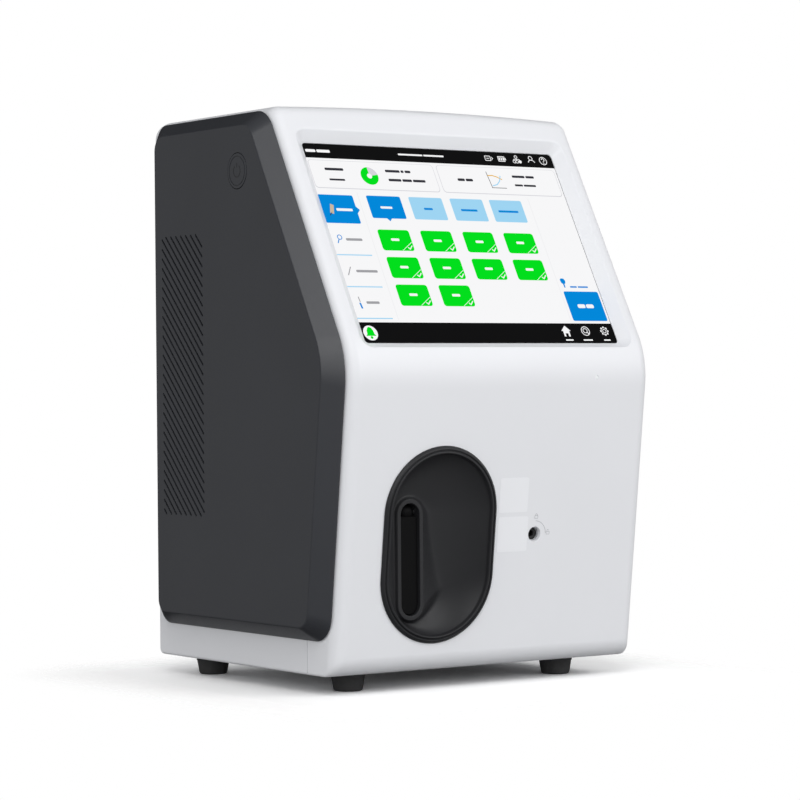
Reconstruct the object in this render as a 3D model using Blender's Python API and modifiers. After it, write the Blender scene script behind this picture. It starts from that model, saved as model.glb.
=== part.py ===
"""Benchtop blood gas analyzer, in metres, standing on z = 0 and facing -Y.

The housing is a side profile carried across the width: an undercut lower front, a soft kink and a
sloping face for the touch screen. Front cover and rear housing are the two halves of one shell.
"""
import math

import bmesh
import bpy
from mathutils import Matrix, Vector

# Gaps
GAP = 0.0003                 # between pieces that touch
SEAM = 0.0005                # between front cover and rear housing
RUNNING = 0.0003             # round a shaft or a pin
SLIDING = 0.0004             # round the power button

# Housing
HOUSING_WIDTH = 0.2504
HOUSING_DEPTH = 0.2501       # from the foremost line of the kink to the rear wall
HOUSING_TOP = 0.3912         # at the sides
HOUSING_BOTTOM = 0.0133
TOP_CROWN = 0.0028           # rise of the top in the middle
WALL = 0.0032
KINK_HEIGHT = 0.221          # where the two front faces would meet
SCREEN_TILT = math.radians(28.95)
UNDERCUT = math.radians(6.9)
KINK_ROUND = 0.060
BOTTOM_FRONT_ROUND = 0.014
TOP_FRONT_ROUND = 0.012
TOP_REAR_ROUND = 0.012
BOTTOM_REAR_ROUND = 0.006
SIDE_ROUND = 0.009           # front and top edges of the two sides
REAR_EDGE_ROUND = 0.0045     # rear edges of the two sides
BOTTOM_EDGE_ROUND = 0.0020
CROWN_STEPS = 4
PROFILE_STEPS = (4, 2, 4, 4, 8)
SEAM_DEPTH = 0.055           # parting line behind the kink
SEAM_BEND_HEIGHT = 0.200

# Touch screen
SCREEN_SIDE = 0.0196         # from the housing's sides
SCREEN_WIDTH = HOUSING_WIDTH - 2 * SCREEN_SIDE
SCREEN_HEIGHT = 0.1552
SCREEN_FOOT = 0.0151         # lower edge of the screen above the kink, along the slope
SCREEN_DEPTH = 0.0063
RECESS_RUN = 0.0073          # how far the sloping recess walls spread
RECESS_CORNER = 0.009
SCREEN_CORNER = 0.003
SCREEN_LIP = 0.0006
GLASS_MARGIN = 0.0039
GLASS_THICK = 0.0018
COLLAR_RIM = 0.0070          # material round the glass
COLLAR_FRONT = 0.0030
LCD_THICK = 0.0090
LCD_OVERLAP = 0.0040         # how far the display is wider than the glass, each side
FRAME_SHEET = 0.0012
FRAME_FLANGE = 0.0080
STANDOFF_HEIGHT = 0.0100
STANDOFF_RADIUS = 0.0035
BOARD_THICK = 0.0016
BOARD_MARGIN = 0.0206        # screen beyond the main board, each side
BOARD_WIDTH = SCREEN_WIDTH - 2 * BOARD_MARGIN
BOARD_HEIGHT = 0.110

# Sample port
PORT_X = -0.0469
PORT_TOP = 0.0579            # below the kink, along the lower front
PORT_WIDTH = 0.0910
PORT_HEIGHT = 0.1325
PORT_HOLE_MARGIN = 0.0021    # how far the flange covers the front cover
PORT_RIM = 0.0056            # width of the ring round the bowl
RIM_PROFILE = ((0.0, GAP), (0.0, 0.0006), (0.0014, 0.0022), (0.0022, 0.0024), (0.0026, 0.0016),
               (0.0032, 0.0016), (0.0036, 0.0026), (0.0044, 0.0028), (0.0050, 0.0024), (0.0054, 0.0010))
PORT_NECK = 0.0040           # how far the neck reaches through the front cover
PORT_WALL = 0.0028
BOWL_RIGHT = 0.0150          # depth that each side of the bowl falls towards
BOWL_TOP = 0.0125
BOWL_BOTTOM = 0.0070
BOWL_LEAST = 0.0030          # bowl's floor below the lip
BOWL_FALL = 0.45             # share of the way from rim to lip over which it falls
BOWL_ROWS = (0.03, 0.08, 0.16, 0.27, 0.40, 0.53, 0.66, 0.77, 0.86, 0.93, 0.98)
BOWL_BLEND = 0.0024
SHELL_ROWS = (0.75, 0.45, 0.20, 0.0)
SHELL_SHIFT = 0.0012
FLANK_STEEP = 2.5            # fall of the lip's flank over its width
FLANK_BOTTOM = 1.2
FLANK_LOW = 0.5
FLANK_HIGH = 0.85
SLOT_X = -0.0659
SLOT_FOOT = 0.1710           # slot's lower end below the kink, along the lower front
SLOT_WIDTH = 0.0148
SLOT_HEIGHT = 0.0743
SLOT_LIP = 0.0031
SLOT_REACH = 0.0180          # slot's length behind its lip
LIP_STEP = 0.0006
LIP_EDGE = 0.0005
TUBE_WALL = 0.0036
ARC_STEPS = 6
STRAIGHT_STEPS = 4

# Probe
LEVER_PLAY = 0.0009          # between lever and slot
LEVER_WIDTH = SLOT_WIDTH - 2 * LEVER_PLAY
LEVER_FACE = 0.0022          # lever's face behind the lip
LEVER_BACK = 0.0095
LEVER_PLATE = 0.0030         # thickness of the lever's lower end
PLATE_LENGTH = 0.0140
PIVOT_DROP = 0.0060          # pivot below the slot's upper end
PIVOT_DEPTH = 0.0072
HEAD_PROFILE = ((0.0024, 0.0058), (0.0035, 0.0048), (0.0044, 0.0034), (0.0050, 0.0018))
SHAFT_RADIUS = 0.0013
SHAFT_HALF = 0.0094
NEEDLE_RADIUS = 0.0008
NEEDLE_DEPTH = 0.0066
NEEDLE_FOOT = 0.0040         # needle's point above the lever's lower end
NEEDLE_LENGTH = 0.0345

# Lock
LOCK_X = 0.0323
LOCK_DROP = 0.1201           # below the kink, along the lower front
LOCK_HOLE = 0.0050
SLEEVE_FLANGE = 0.0090
SLEEVE_RADIUS = 0.0070
SLEEVE_LENGTH = 0.0300
SPINDLE_RADIUS = 0.0040
SPINDLE_FACE = 0.0046
KEY_ACROSS = 0.0025          # half of the hexagonal socket
KEY_DEPTH = 0.0060
CLAW_DEPTH = 0.0620
CLAW_THICK = 0.0040
CLAW_ARM = 0.0160
CLAW_WIDTH = 0.0070
CLAW_REACH = 0.0140
CLAW_TIP = 0.0040
CLAW_HUB = 0.0060
CLAW_PLAY = 0.0010
RIB_THICK = 0.0035

# Status lamp
LAMP_X = 0.0778
LAMP_HEIGHT = 0.2078
LAMP_RADIUS = 0.0011
LAMP_LENGTH = 0.0120
LAMP_FLANGE = 0.0030

# Side covers
COVER_THICK = 0.0140
COVER_SHELL = 0.0026
COVER_BOTTOM = 0.0364
COVER_TOP = 0.3889
COVER_BEVEL = 0.0094
COVER_TOP_BEVEL = 0.0101
COVER_REAR_BEVEL = 0.0190
COVER_FRONT_SETBACK = 0.0042
COVER_REAR_SETBACK = 0.0065
SHADOW_GAP = 0.0008
DOOR_FRONT_SETBACK = 0.0160
DOOR_REAR_SETBACK = 0.0200
DOOR_REAR_BEVEL = 0.0100
SCOOP_HEIGHT = 0.1650        # finger gap at the door's front edge
SCOOP_LENGTH = 0.0500
SCOOP_DEPTH = 0.0045
COVER_ROUNDS = (0.018, 0.014, 0.014, 0.020, 0.060)
PLATEAU_ROUNDS = (0.012, 0.009, 0.010, 0.015, 0.050)

# Vent slots
VENT_REAR_EDGE = 0.0351      # in front of the rear wall
VENT_LENGTH = 0.0546
VENT_BOTTOM = 0.1147
VENT_TOP = 0.3082
VENT_PITCH = 0.00674         # along the height
VENT_WIDTH = 0.0016
VENT_SHORTEST = 0.0040

# Power button
BUTTON_DEPTH = 0.1152        # behind the kink
BUTTON_HEIGHT = 0.3485
BUTTON_RADIUS = 0.0120
BUTTON_PROUD = 0.0003
BUTTON_TRAVEL = 0.0012
BUTTON_RING = 0.0098
RING_WIDTH = 0.0005
RING_DEPTH = 0.0004
BUTTON_FLANGE = 0.0134
BUTTON_FLANGE_THICK = 0.0012
STEM_RADIUS = 0.0025
SWITCH_SIZE = 0.0060
SWITCH_HEIGHT = 0.0035
SWITCH_BOARD = 0.0220

# Reagent bay and pump compartment on the right
BULKHEAD_X = 0.0120
BULKHEAD_SHEET = 0.0015
BULKHEAD_TOP = 0.3200
BULKHEAD_FOOT = 0.0120
BASE_SHEET = 0.0015
BASE_FLANGE = 0.0120
BAY_FRONT = 0.0660           # behind the kink
BAY_REAR_EDGE = 0.0260       # in front of the rear wall
BAY_BOTTOM = 0.0380
BAY_LINTEL = 0.0030          # bay's upper edge below the shelf
SHELF_HEIGHT = 0.2030
SHELF_THICK = 0.0020
UPPER_BAY_LENGTH = 0.0980
UPPER_BAY_SILL = 0.0090      # above the shelf's underside
UPPER_BAY_TALL = 0.0880
TRAY_HEIGHT = 0.0200
TRAY_WALL = 0.0020
TRAY_GUIDE = 0.0120
PACK_CLEAR = 0.0010
PACK_FRONT = 0.0700
PACK_SETBACK = 0.0050        # pack's rear in front of the bay's rear edge
PACK_UNDER = 0.0040          # pack's top below the bay's upper edge
GRIP_DROP = 0.0300           # grip below the pack's top
GRIP_TALL = 0.0260
GRIP_LENGTH = 0.0720
GRIP_DEPTH = 0.0140
PACK_ROUND = 0.0060
PACK_POCKET = 0.0140         # room for the claw in the front of the pack

# Door hinge
HINGE_OUT = 0.0060           # pin axis outside the side wall
HINGE_SETBACK = 0.0140       # pin axis in front of the rear wall
BARREL_RADIUS = 0.0045
BARREL_LENGTH = 0.0200
BARREL_LOW = 0.0700
BARREL_HIGH = 0.3300
PIN_RADIUS = 0.0015
EAR_THICK = 0.0055
HINGE_SHEET = 0.0009
DOOR_ARM = 0.0130

# Door catch
CATCH_DEPTH = 0.0400         # behind the kink
CATCH_HEIGHT = 0.1500
CATCH_WIDTH = 0.0120
CATCH_TALL = 0.0280
STRIKE_THICK = 0.0012

# Feet
FOOT_SIDE = 0.0377           # front feet from the side wall
FOOT_REAR_SIDE = 0.0254
FOOT_FRONT = 0.0640          # behind the kink
FOOT_REAR_EDGE = 0.0341      # in front of the rear wall
FOOT_TOP_RADIUS = 0.0118
FOOT_BOTTOM_RADIUS = 0.0098

# Fan
FAN_SIZE = 0.0600
FAN_THICK = 0.0150
FAN_OPENING = 0.0280
FAN_HEIGHT = 0.2650
FAN_BLADES = 7
FAN_HUB = 0.0130
FAN_AXLE = 0.0015

# Sensor cassette
CASSETTE_AHEAD = 0.0660      # holder's front ahead of the pump's axis
HOLDER_WIDTH = 0.0340
HOLDER_SPAN = 0.0320
HOLDER_TALL = 0.0700
HOLDER_BACK = 0.0060
HOLDER_WALL = 0.0050
CASSETTE_GRIP = 0.0160

# Pump
PUMP_SETBACK = 0.0300        # pump's axis in front of the bay's rear edge
PUMP_LIFT = 0.0530           # pump's axis above the shelf's underside
PUMP_HEAD = 0.0520
PUMP_THICK = 0.0220
PUMP_BACK = 0.0040
PUMP_SHAFT = 0.0025
PUMP_DISC = 0.0155
PUMP_CAVITY = 0.0216
PUMP_ARM = 0.0134
ROLLER_RADIUS = 0.0040
TUBE_RADIUS = 0.0018
BARB_RADIUS = 0.0007
BARB_LENGTH = 0.0060
PUMP_MOTOR_RADIUS = 0.0170
PUMP_MOTOR_LENGTH = 0.0420
MOTOR_BORE = 0.0100

# Power supply and battery
SUPPLY_SIDE = 0.0070         # from the side wall's inner face
SUPPLY_RIGHT = -0.0200
SUPPLY_LENGTH = 0.0840
SUPPLY_REAR_EDGE = 0.0280    # in front of the rear wall
SUPPLY_TOP = 0.0620
BATTERY_SIDE = 0.0100        # from the side wall's inner face
BATTERY_RIGHT = -0.0300
BATTERY_FRONT = 0.0680       # behind the kink
BATTERY_AHEAD = 0.0080       # between battery and power supply
BATTERY_TOP = 0.0580

# Rear connections
INLET_X = -0.0700
INLET_HEIGHT = 0.0500
INLET_WIDTH = 0.0275
INLET_TALL = 0.0200
PANEL_X = 0.0450
PANEL_WIDTH = 0.0700
PANEL_TALL = 0.0240
PANEL_HEIGHT = 0.0500
INLET_WELL = 0.0240
INLET_REACH = 0.0220         # inlet's length behind the rear wall's face
WELL_DEPTH = 0.0160
PANEL_SOCKETS = (("network", -0.022, 0.0119, 0.0080, 0.014),
                 ("data_left", 0.002, 0.0125, 0.0060, 0.012),
                 ("data_right", 0.022, 0.0125, 0.0060, 0.012))

# Places that follow from the sizes above
HALF_WIDTH = HOUSING_WIDTH / 2
REAR_Y = HOUSING_DEPTH / 2
NOSE = (KINK_ROUND / math.cos((SCREEN_TILT + UNDERCUT) / 2) * math.cos((SCREEN_TILT - UNDERCUT) / 2)
        - KINK_ROUND)
KINK_Y = -HOUSING_DEPTH / 2 - NOSE
INNER_SIDE = HALF_WIDTH - WALL
FLOOR = HOUSING_BOTTOM + WALL
SCREEN_MIDDLE = SCREEN_FOOT + SCREEN_HEIGHT / 2
GLASS_FRONT = SCREEN_DEPTH + SCREEN_LIP + GAP
LCD_FRONT = GLASS_FRONT + GLASS_THICK + GAP
FRAME_FRONT = LCD_FRONT + LCD_THICK + GAP
PORT_MIDDLE = -PORT_TOP - PORT_HEIGHT / 2
PIVOT = (SLOT_HEIGHT - PIVOT_DROP, -PIVOT_DEPTH)
HINGE_X = HALF_WIDTH + HINGE_OUT
HINGE_Y = REAR_Y - HINGE_SETBACK
REAR_DEPTH = REAR_Y - KINK_Y
VENT_REAR = REAR_DEPTH - VENT_REAR_EDGE
VENT_FRONT = VENT_REAR - VENT_LENGTH
FAN_DEPTH = (VENT_FRONT + VENT_REAR) / 2
BAY_REAR = REAR_DEPTH - BAY_REAR_EDGE
BAY_TOP = SHELF_HEIGHT - BAY_LINTEL
UPPER_BAY_FRONT = BAY_REAR - UPPER_BAY_LENGTH
UPPER_BAY_BOTTOM = SHELF_HEIGHT + UPPER_BAY_SILL
UPPER_BAY_TOP = UPPER_BAY_BOTTOM + UPPER_BAY_TALL
PACK_REAR = BAY_REAR - PACK_SETBACK
PACK_TOP = BAY_TOP - PACK_UNDER
PUMP_DEPTH = BAY_REAR - PUMP_SETBACK
PUMP_HEIGHT = SHELF_HEIGHT + PUMP_LIFT
CASSETTE_DEPTH = PUMP_DEPTH - CASSETTE_AHEAD
FOOT_X = HALF_WIDTH - FOOT_SIDE
FOOT_REAR_X = HALF_WIDTH - FOOT_REAR_SIDE
FOOT_REAR = REAR_DEPTH - FOOT_REAR_EDGE
SUPPLY_LEFT = SUPPLY_SIDE - INNER_SIDE
SUPPLY_REAR = REAR_DEPTH - SUPPLY_REAR_EDGE
SUPPLY_FRONT = SUPPLY_REAR - SUPPLY_LENGTH
BATTERY_LEFT = BATTERY_SIDE - INNER_SIDE
BATTERY_REAR = SUPPLY_FRONT - BATTERY_AHEAD

AXIS_X = Matrix(((0, 0, 1, 0), (1, 0, 0, 0), (0, 1, 0, 0), (0, 0, 0, 1)))
AXIS_Y = Matrix(((0, 1, 0, 0), (0, 0, 1, 0), (1, 0, 0, 0), (0, 0, 0, 1)))
AXIS_Z = Matrix.Identity(4)
SWAPPED = Matrix(((0, 1, 0, 0), (1, 0, 0, 0), (0, 0, 1, 0), (0, 0, 0, 1)))
SWAPPED_REAR = Matrix(((-1, 0, 0, 0), (0, 0, 1, 0), (0, 1, 0, 0), (0, 0, 0, 1)))
KINK = Matrix.Translation((0, KINK_Y, KINK_HEIGHT))
SCREEN_FACE = KINK @ Matrix.Rotation(math.pi / 2 - SCREEN_TILT, 4, 'X')
LOWER_FACE = KINK @ Matrix.Rotation(math.pi / 2 + UNDERCUT, 4, 'X')
SLOT_FACE = (Matrix.Translation(LOWER_FACE @ Vector((0, -SLOT_FOOT, 0)))
             @ Matrix.Rotation(math.pi / 2, 4, 'X'))

COLOURS = {
    "white_plastic": ((0.79, 0.80, 0.81), 0.42, 0.0),
    "charcoal_plastic": ((0.045, 0.046, 0.049), 0.48, 0.0),
    "port_plastic": ((0.040, 0.041, 0.045), 0.40, 0.0),
    "black_plastic": ((0.015, 0.015, 0.016), 0.50, 0.0),
    "black_rubber": ((0.020, 0.020, 0.020), 0.75, 0.0),
    "screen_glass": ((0.55, 0.60, 0.65), 0.05, 0.0),
    "lamp_plastic": ((0.90, 0.90, 0.90), 0.20, 0.0),
    "steel": ((0.55, 0.56, 0.57), 0.35, 1.0),
    "aluminium": ((0.70, 0.71, 0.72), 0.40, 1.0),
    "galvanised_steel": ((0.50, 0.51, 0.52), 0.45, 1.0),
    "circuit_board": ((0.02, 0.16, 0.08), 0.45, 0.0),
    "grey_plastic": ((0.38, 0.39, 0.41), 0.50, 0.0),
    "pack_plastic": ((0.70, 0.74, 0.78), 0.40, 0.0),
    "blue_plastic": ((0.05, 0.22, 0.50), 0.40, 0.0),
    "silicone": ((0.75, 0.72, 0.66), 0.55, 0.0),
}


def clear_scene():
    for old in list(bpy.data.objects):
        bpy.data.objects.remove(old)


def new_collection(name):
    collection = bpy.data.collections.new(name)
    bpy.context.scene.collection.children.link(collection)
    return collection


clear_scene()
PARTS = new_collection("blood_gas_analyzer")
TOOLS = new_collection("cutters")


def material(name):
    """The named material, made on first use."""
    found = bpy.data.materials.get(name)
    if found:
        return found
    colour, roughness, metallic = COLOURS[name]
    made = bpy.data.materials.new(name)
    made.use_nodes = True
    shader = made.node_tree.nodes["Principled BSDF"]
    shader.inputs["Base Color"].default_value = (*colour, 1.0)
    shader.inputs["Roughness"].default_value = roughness
    shader.inputs["Metallic"].default_value = metallic
    made.diffuse_color = (*colour, 1.0)
    return made


def place(name, mesh, frame, finish=None):
    """Puts a mesh into the model; without a finish it is a cutter or a joined piece."""
    piece = bpy.data.objects.new(name, mesh)
    piece.matrix_world = frame
    if finish:
        mesh.materials.append(material(finish))
        PARTS.objects.link(piece)
    else:
        TOOLS.objects.link(piece)
        piece.hide_render = True
        piece.display_type = 'WIRE'
    return piece


def finish_mesh(shape, name, smooth=False):
    """Welds a bmesh, turns its faces outwards and makes a mesh of it."""
    bmesh.ops.remove_doubles(shape, verts=shape.verts, dist=0.000001)
    bmesh.ops.recalc_face_normals(shape, faces=shape.faces)
    mesh = bpy.data.meshes.new(name)
    shape.to_mesh(mesh)
    shape.free()
    if smooth:
        mesh.shade_smooth()
        mesh.set_sharp_from_angle(angle=math.radians(35))
    return mesh


def fillet(corners, rounds, steps):
    """Outline of a convex polygon whose corners are rounded with arcs."""
    points = []
    for index, corner in enumerate(corners):
        here = Vector(corner)
        back = (Vector(corners[index - 1]) - here).normalized()
        onward = (Vector(corners[(index + 1) % len(corners)]) - here).normalized()
        half = back.angle(onward) / 2
        inward = (back + onward).normalized()
        centre = here + inward * (rounds[index] / math.sin(half))
        start = here + back * (rounds[index] / math.tan(half)) - centre
        turn = math.pi - 2 * half
        side = 1 if back.cross(onward) < 0 else -1
        for step in range(steps[index] + 1):
            arm = start.copy()
            arm.rotate(Matrix.Rotation(side * turn * step / steps[index], 2))
            points.append(tuple(centre + arm))
    return points


def inset(corners, distances):
    """Corners of a polygon whose edges have moved inwards, each by its own distance."""
    lines = []
    for index, corner in enumerate(corners):
        start = Vector(corner)
        along = (Vector(corners[(index + 1) % len(corners)]) - start).normalized()
        inward = Vector((-along.y, along.x))
        lines.append((start + inward * distances[index], along))
    moved = []
    for index in range(len(corners)):
        before, first = lines[index - 1]
        after, second = lines[index]
        gap = after - before
        reach = gap.cross(second) / first.cross(second)
        moved.append(tuple(before + first * reach))
    return moved


def rectangle(width, height, centre=(0.0, 0.0)):
    x, y = centre
    return [(x - width / 2, y - height / 2), (x + width / 2, y - height / 2),
            (x + width / 2, y + height / 2), (x - width / 2, y + height / 2)]


def rounded_rectangle(width, height, corner, centre=(0.0, 0.0), steps=3):
    return fillet(rectangle(width, height, centre), [corner] * 4, [steps] * 4)


def stadium(width, height, centre=(0.0, 0.0), steps=ARC_STEPS):
    """Upright outline with round ends."""
    radius = width / 2
    straight = height / 2 - radius
    points = []
    for end, first in ((1, 0.0), (-1, math.pi)):
        for step in range(2 * steps + 1):
            angle = first + math.pi * step / (2 * steps)
            points.append((centre[0] + radius * math.cos(angle),
                           centre[1] + end * straight + radius * math.sin(angle)))
    return points


def circle(radius, centre=(0.0, 0.0), sides=24):
    return [(centre[0] + radius * math.cos(2 * math.pi * side / sides),
             centre[1] + radius * math.sin(2 * math.pi * side / sides)) for side in range(sides)]


def extruded(name, outline, frame, start, end, finish=None):
    """A flat outline carried along its frame's local Z from start to end."""
    curve = bpy.data.curves.new(name, 'CURVE')
    curve.dimensions = '2D'
    curve.fill_mode = 'BOTH'
    curve.extrude = (end - start) / 2
    spline = curve.splines.new('POLY')
    spline.points.add(len(outline) - 1)
    for point, (across, up) in zip(spline.points, outline):
        point.co = (across, up, 0.0, 1.0)
    spline.use_cyclic_u = True
    guide = bpy.data.objects.new(name, curve)
    TOOLS.objects.link(guide)
    graph = bpy.context.evaluated_depsgraph_get()
    mesh = bpy.data.meshes.new_from_object(guide.evaluated_get(graph))
    bpy.data.objects.remove(guide)
    shape = bmesh.new()
    shape.from_mesh(mesh)
    bpy.data.meshes.remove(mesh)
    bmesh.ops.translate(shape, verts=shape.verts, vec=(0, 0, (start + end) / 2))
    return place(name, finish_mesh(shape, name), frame, finish)


def block(name, low, high, finish=None, frame=AXIS_Z):
    """A box between two corners."""
    shape = bmesh.new()
    bmesh.ops.create_cube(shape, size=1.0)
    low = Vector(low)
    high = Vector(high)
    bmesh.ops.scale(shape, vec=high - low, verts=shape.verts)
    bmesh.ops.translate(shape, vec=(low + high) / 2, verts=shape.verts)
    return place(name, finish_mesh(shape, name), frame, finish)


def rod(name, centre, radius, start, end, frame, finish=None, sides=16, end_radius=None):
    """A round bar or a cone along its frame's local Z."""
    shape = bmesh.new()
    bmesh.ops.create_cone(shape, cap_ends=True, segments=sides, radius1=radius,
                          radius2=radius if end_radius is None else end_radius, depth=end - start)
    bmesh.ops.translate(shape, vec=(*centre, (start + end) / 2), verts=shape.verts)
    return place(name, finish_mesh(shape, name, smooth=True), frame, finish)


def turned(name, profile, frame, steps, finish=None):
    """A profile of (radius, height) points, top to bottom, turned about its frame's local Z."""
    shape = bmesh.new()
    points = [shape.verts.new((radius, 0.0, height)) for radius, height in profile]
    for first, second in zip(points, points[1:]):
        shape.edges.new((first, second))
    mesh = bpy.data.meshes.new(name)
    shape.to_mesh(mesh)
    shape.free()
    piece = place(name, mesh, frame, finish)
    screw = piece.modifiers.new("turn", 'SCREW')
    screw.axis = 'Z'
    screw.steps = steps
    screw.render_steps = steps
    screw.use_merge_vertices = True
    screw.merge_threshold = 0.00001
    screw.use_smooth_shade = True
    return piece


def loft(name, rings, frame, finish=None, tunnel=False):
    """A closed skin through rings of equally many points; a tunnel's last ring meets its first."""
    shape = bmesh.new()
    rows = [[shape.verts.new(point) for point in ring] for ring in rings]
    if tunnel:
        rows.append(rows[0])
    for lower, upper in zip(rows, rows[1:]):
        for index in range(len(lower)):
            onward = (index + 1) % len(lower)
            shape.faces.new((lower[index], lower[onward], upper[onward], upper[index]))
    if not tunnel:
        shape.faces.new(rows[0])
        shape.faces.new(rows[-1])
    return place(name, finish_mesh(shape, name, smooth=True), frame, finish)


def ring(outline, height):
    return [(across, up, height) for across, up in outline]


def boolean(target, operation, *pieces):
    for piece in pieces:
        step = target.modifiers.new(operation.lower() + "_" + piece.name, 'BOOLEAN')
        step.operation = operation
        step.object = piece
        step.solver = 'EXACT'
    return target


def cut(target, *pieces):
    return boolean(target, 'DIFFERENCE', *pieces)


def join(target, *pieces):
    return boolean(target, 'UNION', *pieces)


def keep(target, *pieces):
    return boolean(target, 'INTERSECT', *pieces)


def soften(piece, width, segments=2, angle=40):
    bevel = piece.modifiers.new("soften", 'BEVEL')
    bevel.width = width
    bevel.segments = segments
    bevel.limit_method = 'ANGLE'
    bevel.angle_limit = math.radians(angle)
    return piece


def pivot_on(piece, point, name):
    """Moves a piece's origin to its joint's axis and hangs it on an empty there."""
    point = Vector(point)
    offset = piece.matrix_world.inverted() @ point
    piece.data.transform(Matrix.Translation(-offset))
    axis = bpy.data.objects.get(name)
    if axis is None:
        axis = bpy.data.objects.new(name, None)
        axis.empty_display_size = 0.01
        axis.location = point
        PARTS.objects.link(axis)
        bpy.context.view_layer.update()
    rotation = piece.matrix_world.to_3x3().to_4x4()
    piece.parent = axis
    piece.matrix_parent_inverse = Matrix.Translation(-axis.location)
    piece.matrix_world = Matrix.Translation(point) @ rotation
    return piece


def profile_corners():
    """Side profile as (y, z): front bottom, rear bottom, rear top, front top, kink."""
    bottom_y = KINK_Y + (KINK_HEIGHT - HOUSING_BOTTOM) * math.tan(UNDERCUT)
    top_y = KINK_Y + (HOUSING_TOP - KINK_HEIGHT) * math.tan(SCREEN_TILT)
    return [(bottom_y, HOUSING_BOTTOM), (REAR_Y, HOUSING_BOTTOM), (REAR_Y, HOUSING_TOP),
            (top_y, HOUSING_TOP), (KINK_Y, KINK_HEIGHT)]


def side_round(size, from_side):
    """How far an edge with a round of this size has drawn in, this near to the side."""
    if from_side >= size:
        return 0.0
    return size - math.sqrt(size ** 2 - (size - from_side) ** 2)


def housing_solid(name, thinner, steps, finish=None):
    """The housing's outer form, or the hollow in it when every wall is thinner by that much."""
    half = HALF_WIDTH - thinner
    corners = profile_corners()
    turns = [BOTTOM_FRONT_ROUND, BOTTOM_REAR_ROUND, TOP_REAR_ROUND, TOP_FRONT_ROUND, KINK_ROUND]
    sides = [max(size - thinner, 0.0) for size in
             (BOTTOM_EDGE_ROUND, REAR_EDGE_ROUND, SIDE_ROUND, SIDE_ROUND, SIDE_ROUND)]
    edge = [half - sides[2] * (1 - math.sin(math.radians(90 * step / steps))) for step in range(steps + 1)]
    inner = [half * share / CROWN_STEPS for share in range(CROWN_STEPS)]
    right = [x for x in inner if x < edge[0] - 0.004] + edge
    rings = []
    for x in [-x for x in right[:0:-1]] + right:
        drawn = [thinner + side_round(size, half - abs(x)) for size in sides]
        sizes = [turn - max(drawn[index - 1], drawn[index]) for index, turn in enumerate(turns)]
        drawn[2] -= TOP_CROWN * (1 - (x / half) ** 2)
        outline = fillet(inset(corners, drawn), sizes, PROFILE_STEPS)
        rings.append([(y, z, x) for y, z in outline])
    return loft(name, rings, AXIS_X, finish)


def front_zone(name, shift):
    """Everything in front of the parting line: upright below, along the screen's slope above."""
    seam = KINK_Y + SEAM_DEPTH + shift
    high = HOUSING_TOP + 0.05
    ahead = KINK_Y - 0.05
    top_y = seam + (high - SEAM_BEND_HEIGHT) * math.tan(SCREEN_TILT)
    outline = [(ahead, -0.02), (seam, -0.02), (seam, SEAM_BEND_HEIGHT), (top_y, high), (ahead, high)]
    return extruded(name, outline, AXIS_X, -HOUSING_WIDTH, HOUSING_WIDTH)


def housing_shell(name):
    shell = housing_solid(name, 0.0, 4, "white_plastic")
    cut(shell, housing_solid(name + "_hollow", WALL, 2))
    return shell


def front_cover():
    cover = housing_shell("front_cover")
    middle = (0.0, SCREEN_MIDDLE)
    glass_width = SCREEN_WIDTH + 2 * GLASS_MARGIN + 2 * GAP
    glass_height = SCREEN_HEIGHT + 2 * GLASS_MARGIN + 2 * GAP
    back = GLASS_FRONT + GLASS_THICK
    collar = extruded("screen_collar",
                      rounded_rectangle(glass_width + 2 * COLLAR_RIM, glass_height + 2 * COLLAR_RIM,
                                        RECESS_CORNER, middle),
                      SCREEN_FACE, -back, -COLLAR_FRONT)
    spread = 1.0 + 0.002 / SCREEN_DEPTH
    recess = loft("screen_recess", [
        ring(rounded_rectangle(SCREEN_WIDTH, SCREEN_HEIGHT, SCREEN_CORNER, middle), -SCREEN_DEPTH),
        ring(rounded_rectangle(SCREEN_WIDTH + 2 * RECESS_RUN * spread,
                               SCREEN_HEIGHT + 2 * RECESS_RUN * spread, RECESS_CORNER, middle), 0.002),
    ], SCREEN_FACE)
    window = extruded("screen_window",
                      rounded_rectangle(SCREEN_WIDTH - 0.00002, SCREEN_HEIGHT - 0.00002,
                                        SCREEN_CORNER, middle),
                      SCREEN_FACE, -0.02, -SCREEN_DEPTH + 0.0002)
    rebate = extruded("glass_rebate", rectangle(glass_width, glass_height, middle),
                      SCREEN_FACE, -0.03, -SCREEN_DEPTH - SCREEN_LIP)
    port = extruded("port_hole",
                    stadium(PORT_WIDTH - 2 * PORT_HOLE_MARGIN, PORT_HEIGHT - 2 * PORT_HOLE_MARGIN,
                            (PORT_X, PORT_MIDDLE)),
                    LOWER_FACE, -0.02, 0.01)
    lock = rod("lock_hole", (LOCK_X, -LOCK_DROP), LOCK_HOLE, -0.02, 0.01, LOWER_FACE, sides=20)
    lamp = rod("lamp_hole", (LAMP_HEIGHT, LAMP_X), LAMP_RADIUS + GAP, KINK_Y - 0.01, KINK_Y + 0.02,
               AXIS_Y, sides=12)
    keep(cover, front_zone("front_zone", 0.0))
    join(cover, collar)
    cut(cover, recess, window, rebate, port, lock, lamp)
    return cover


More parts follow.
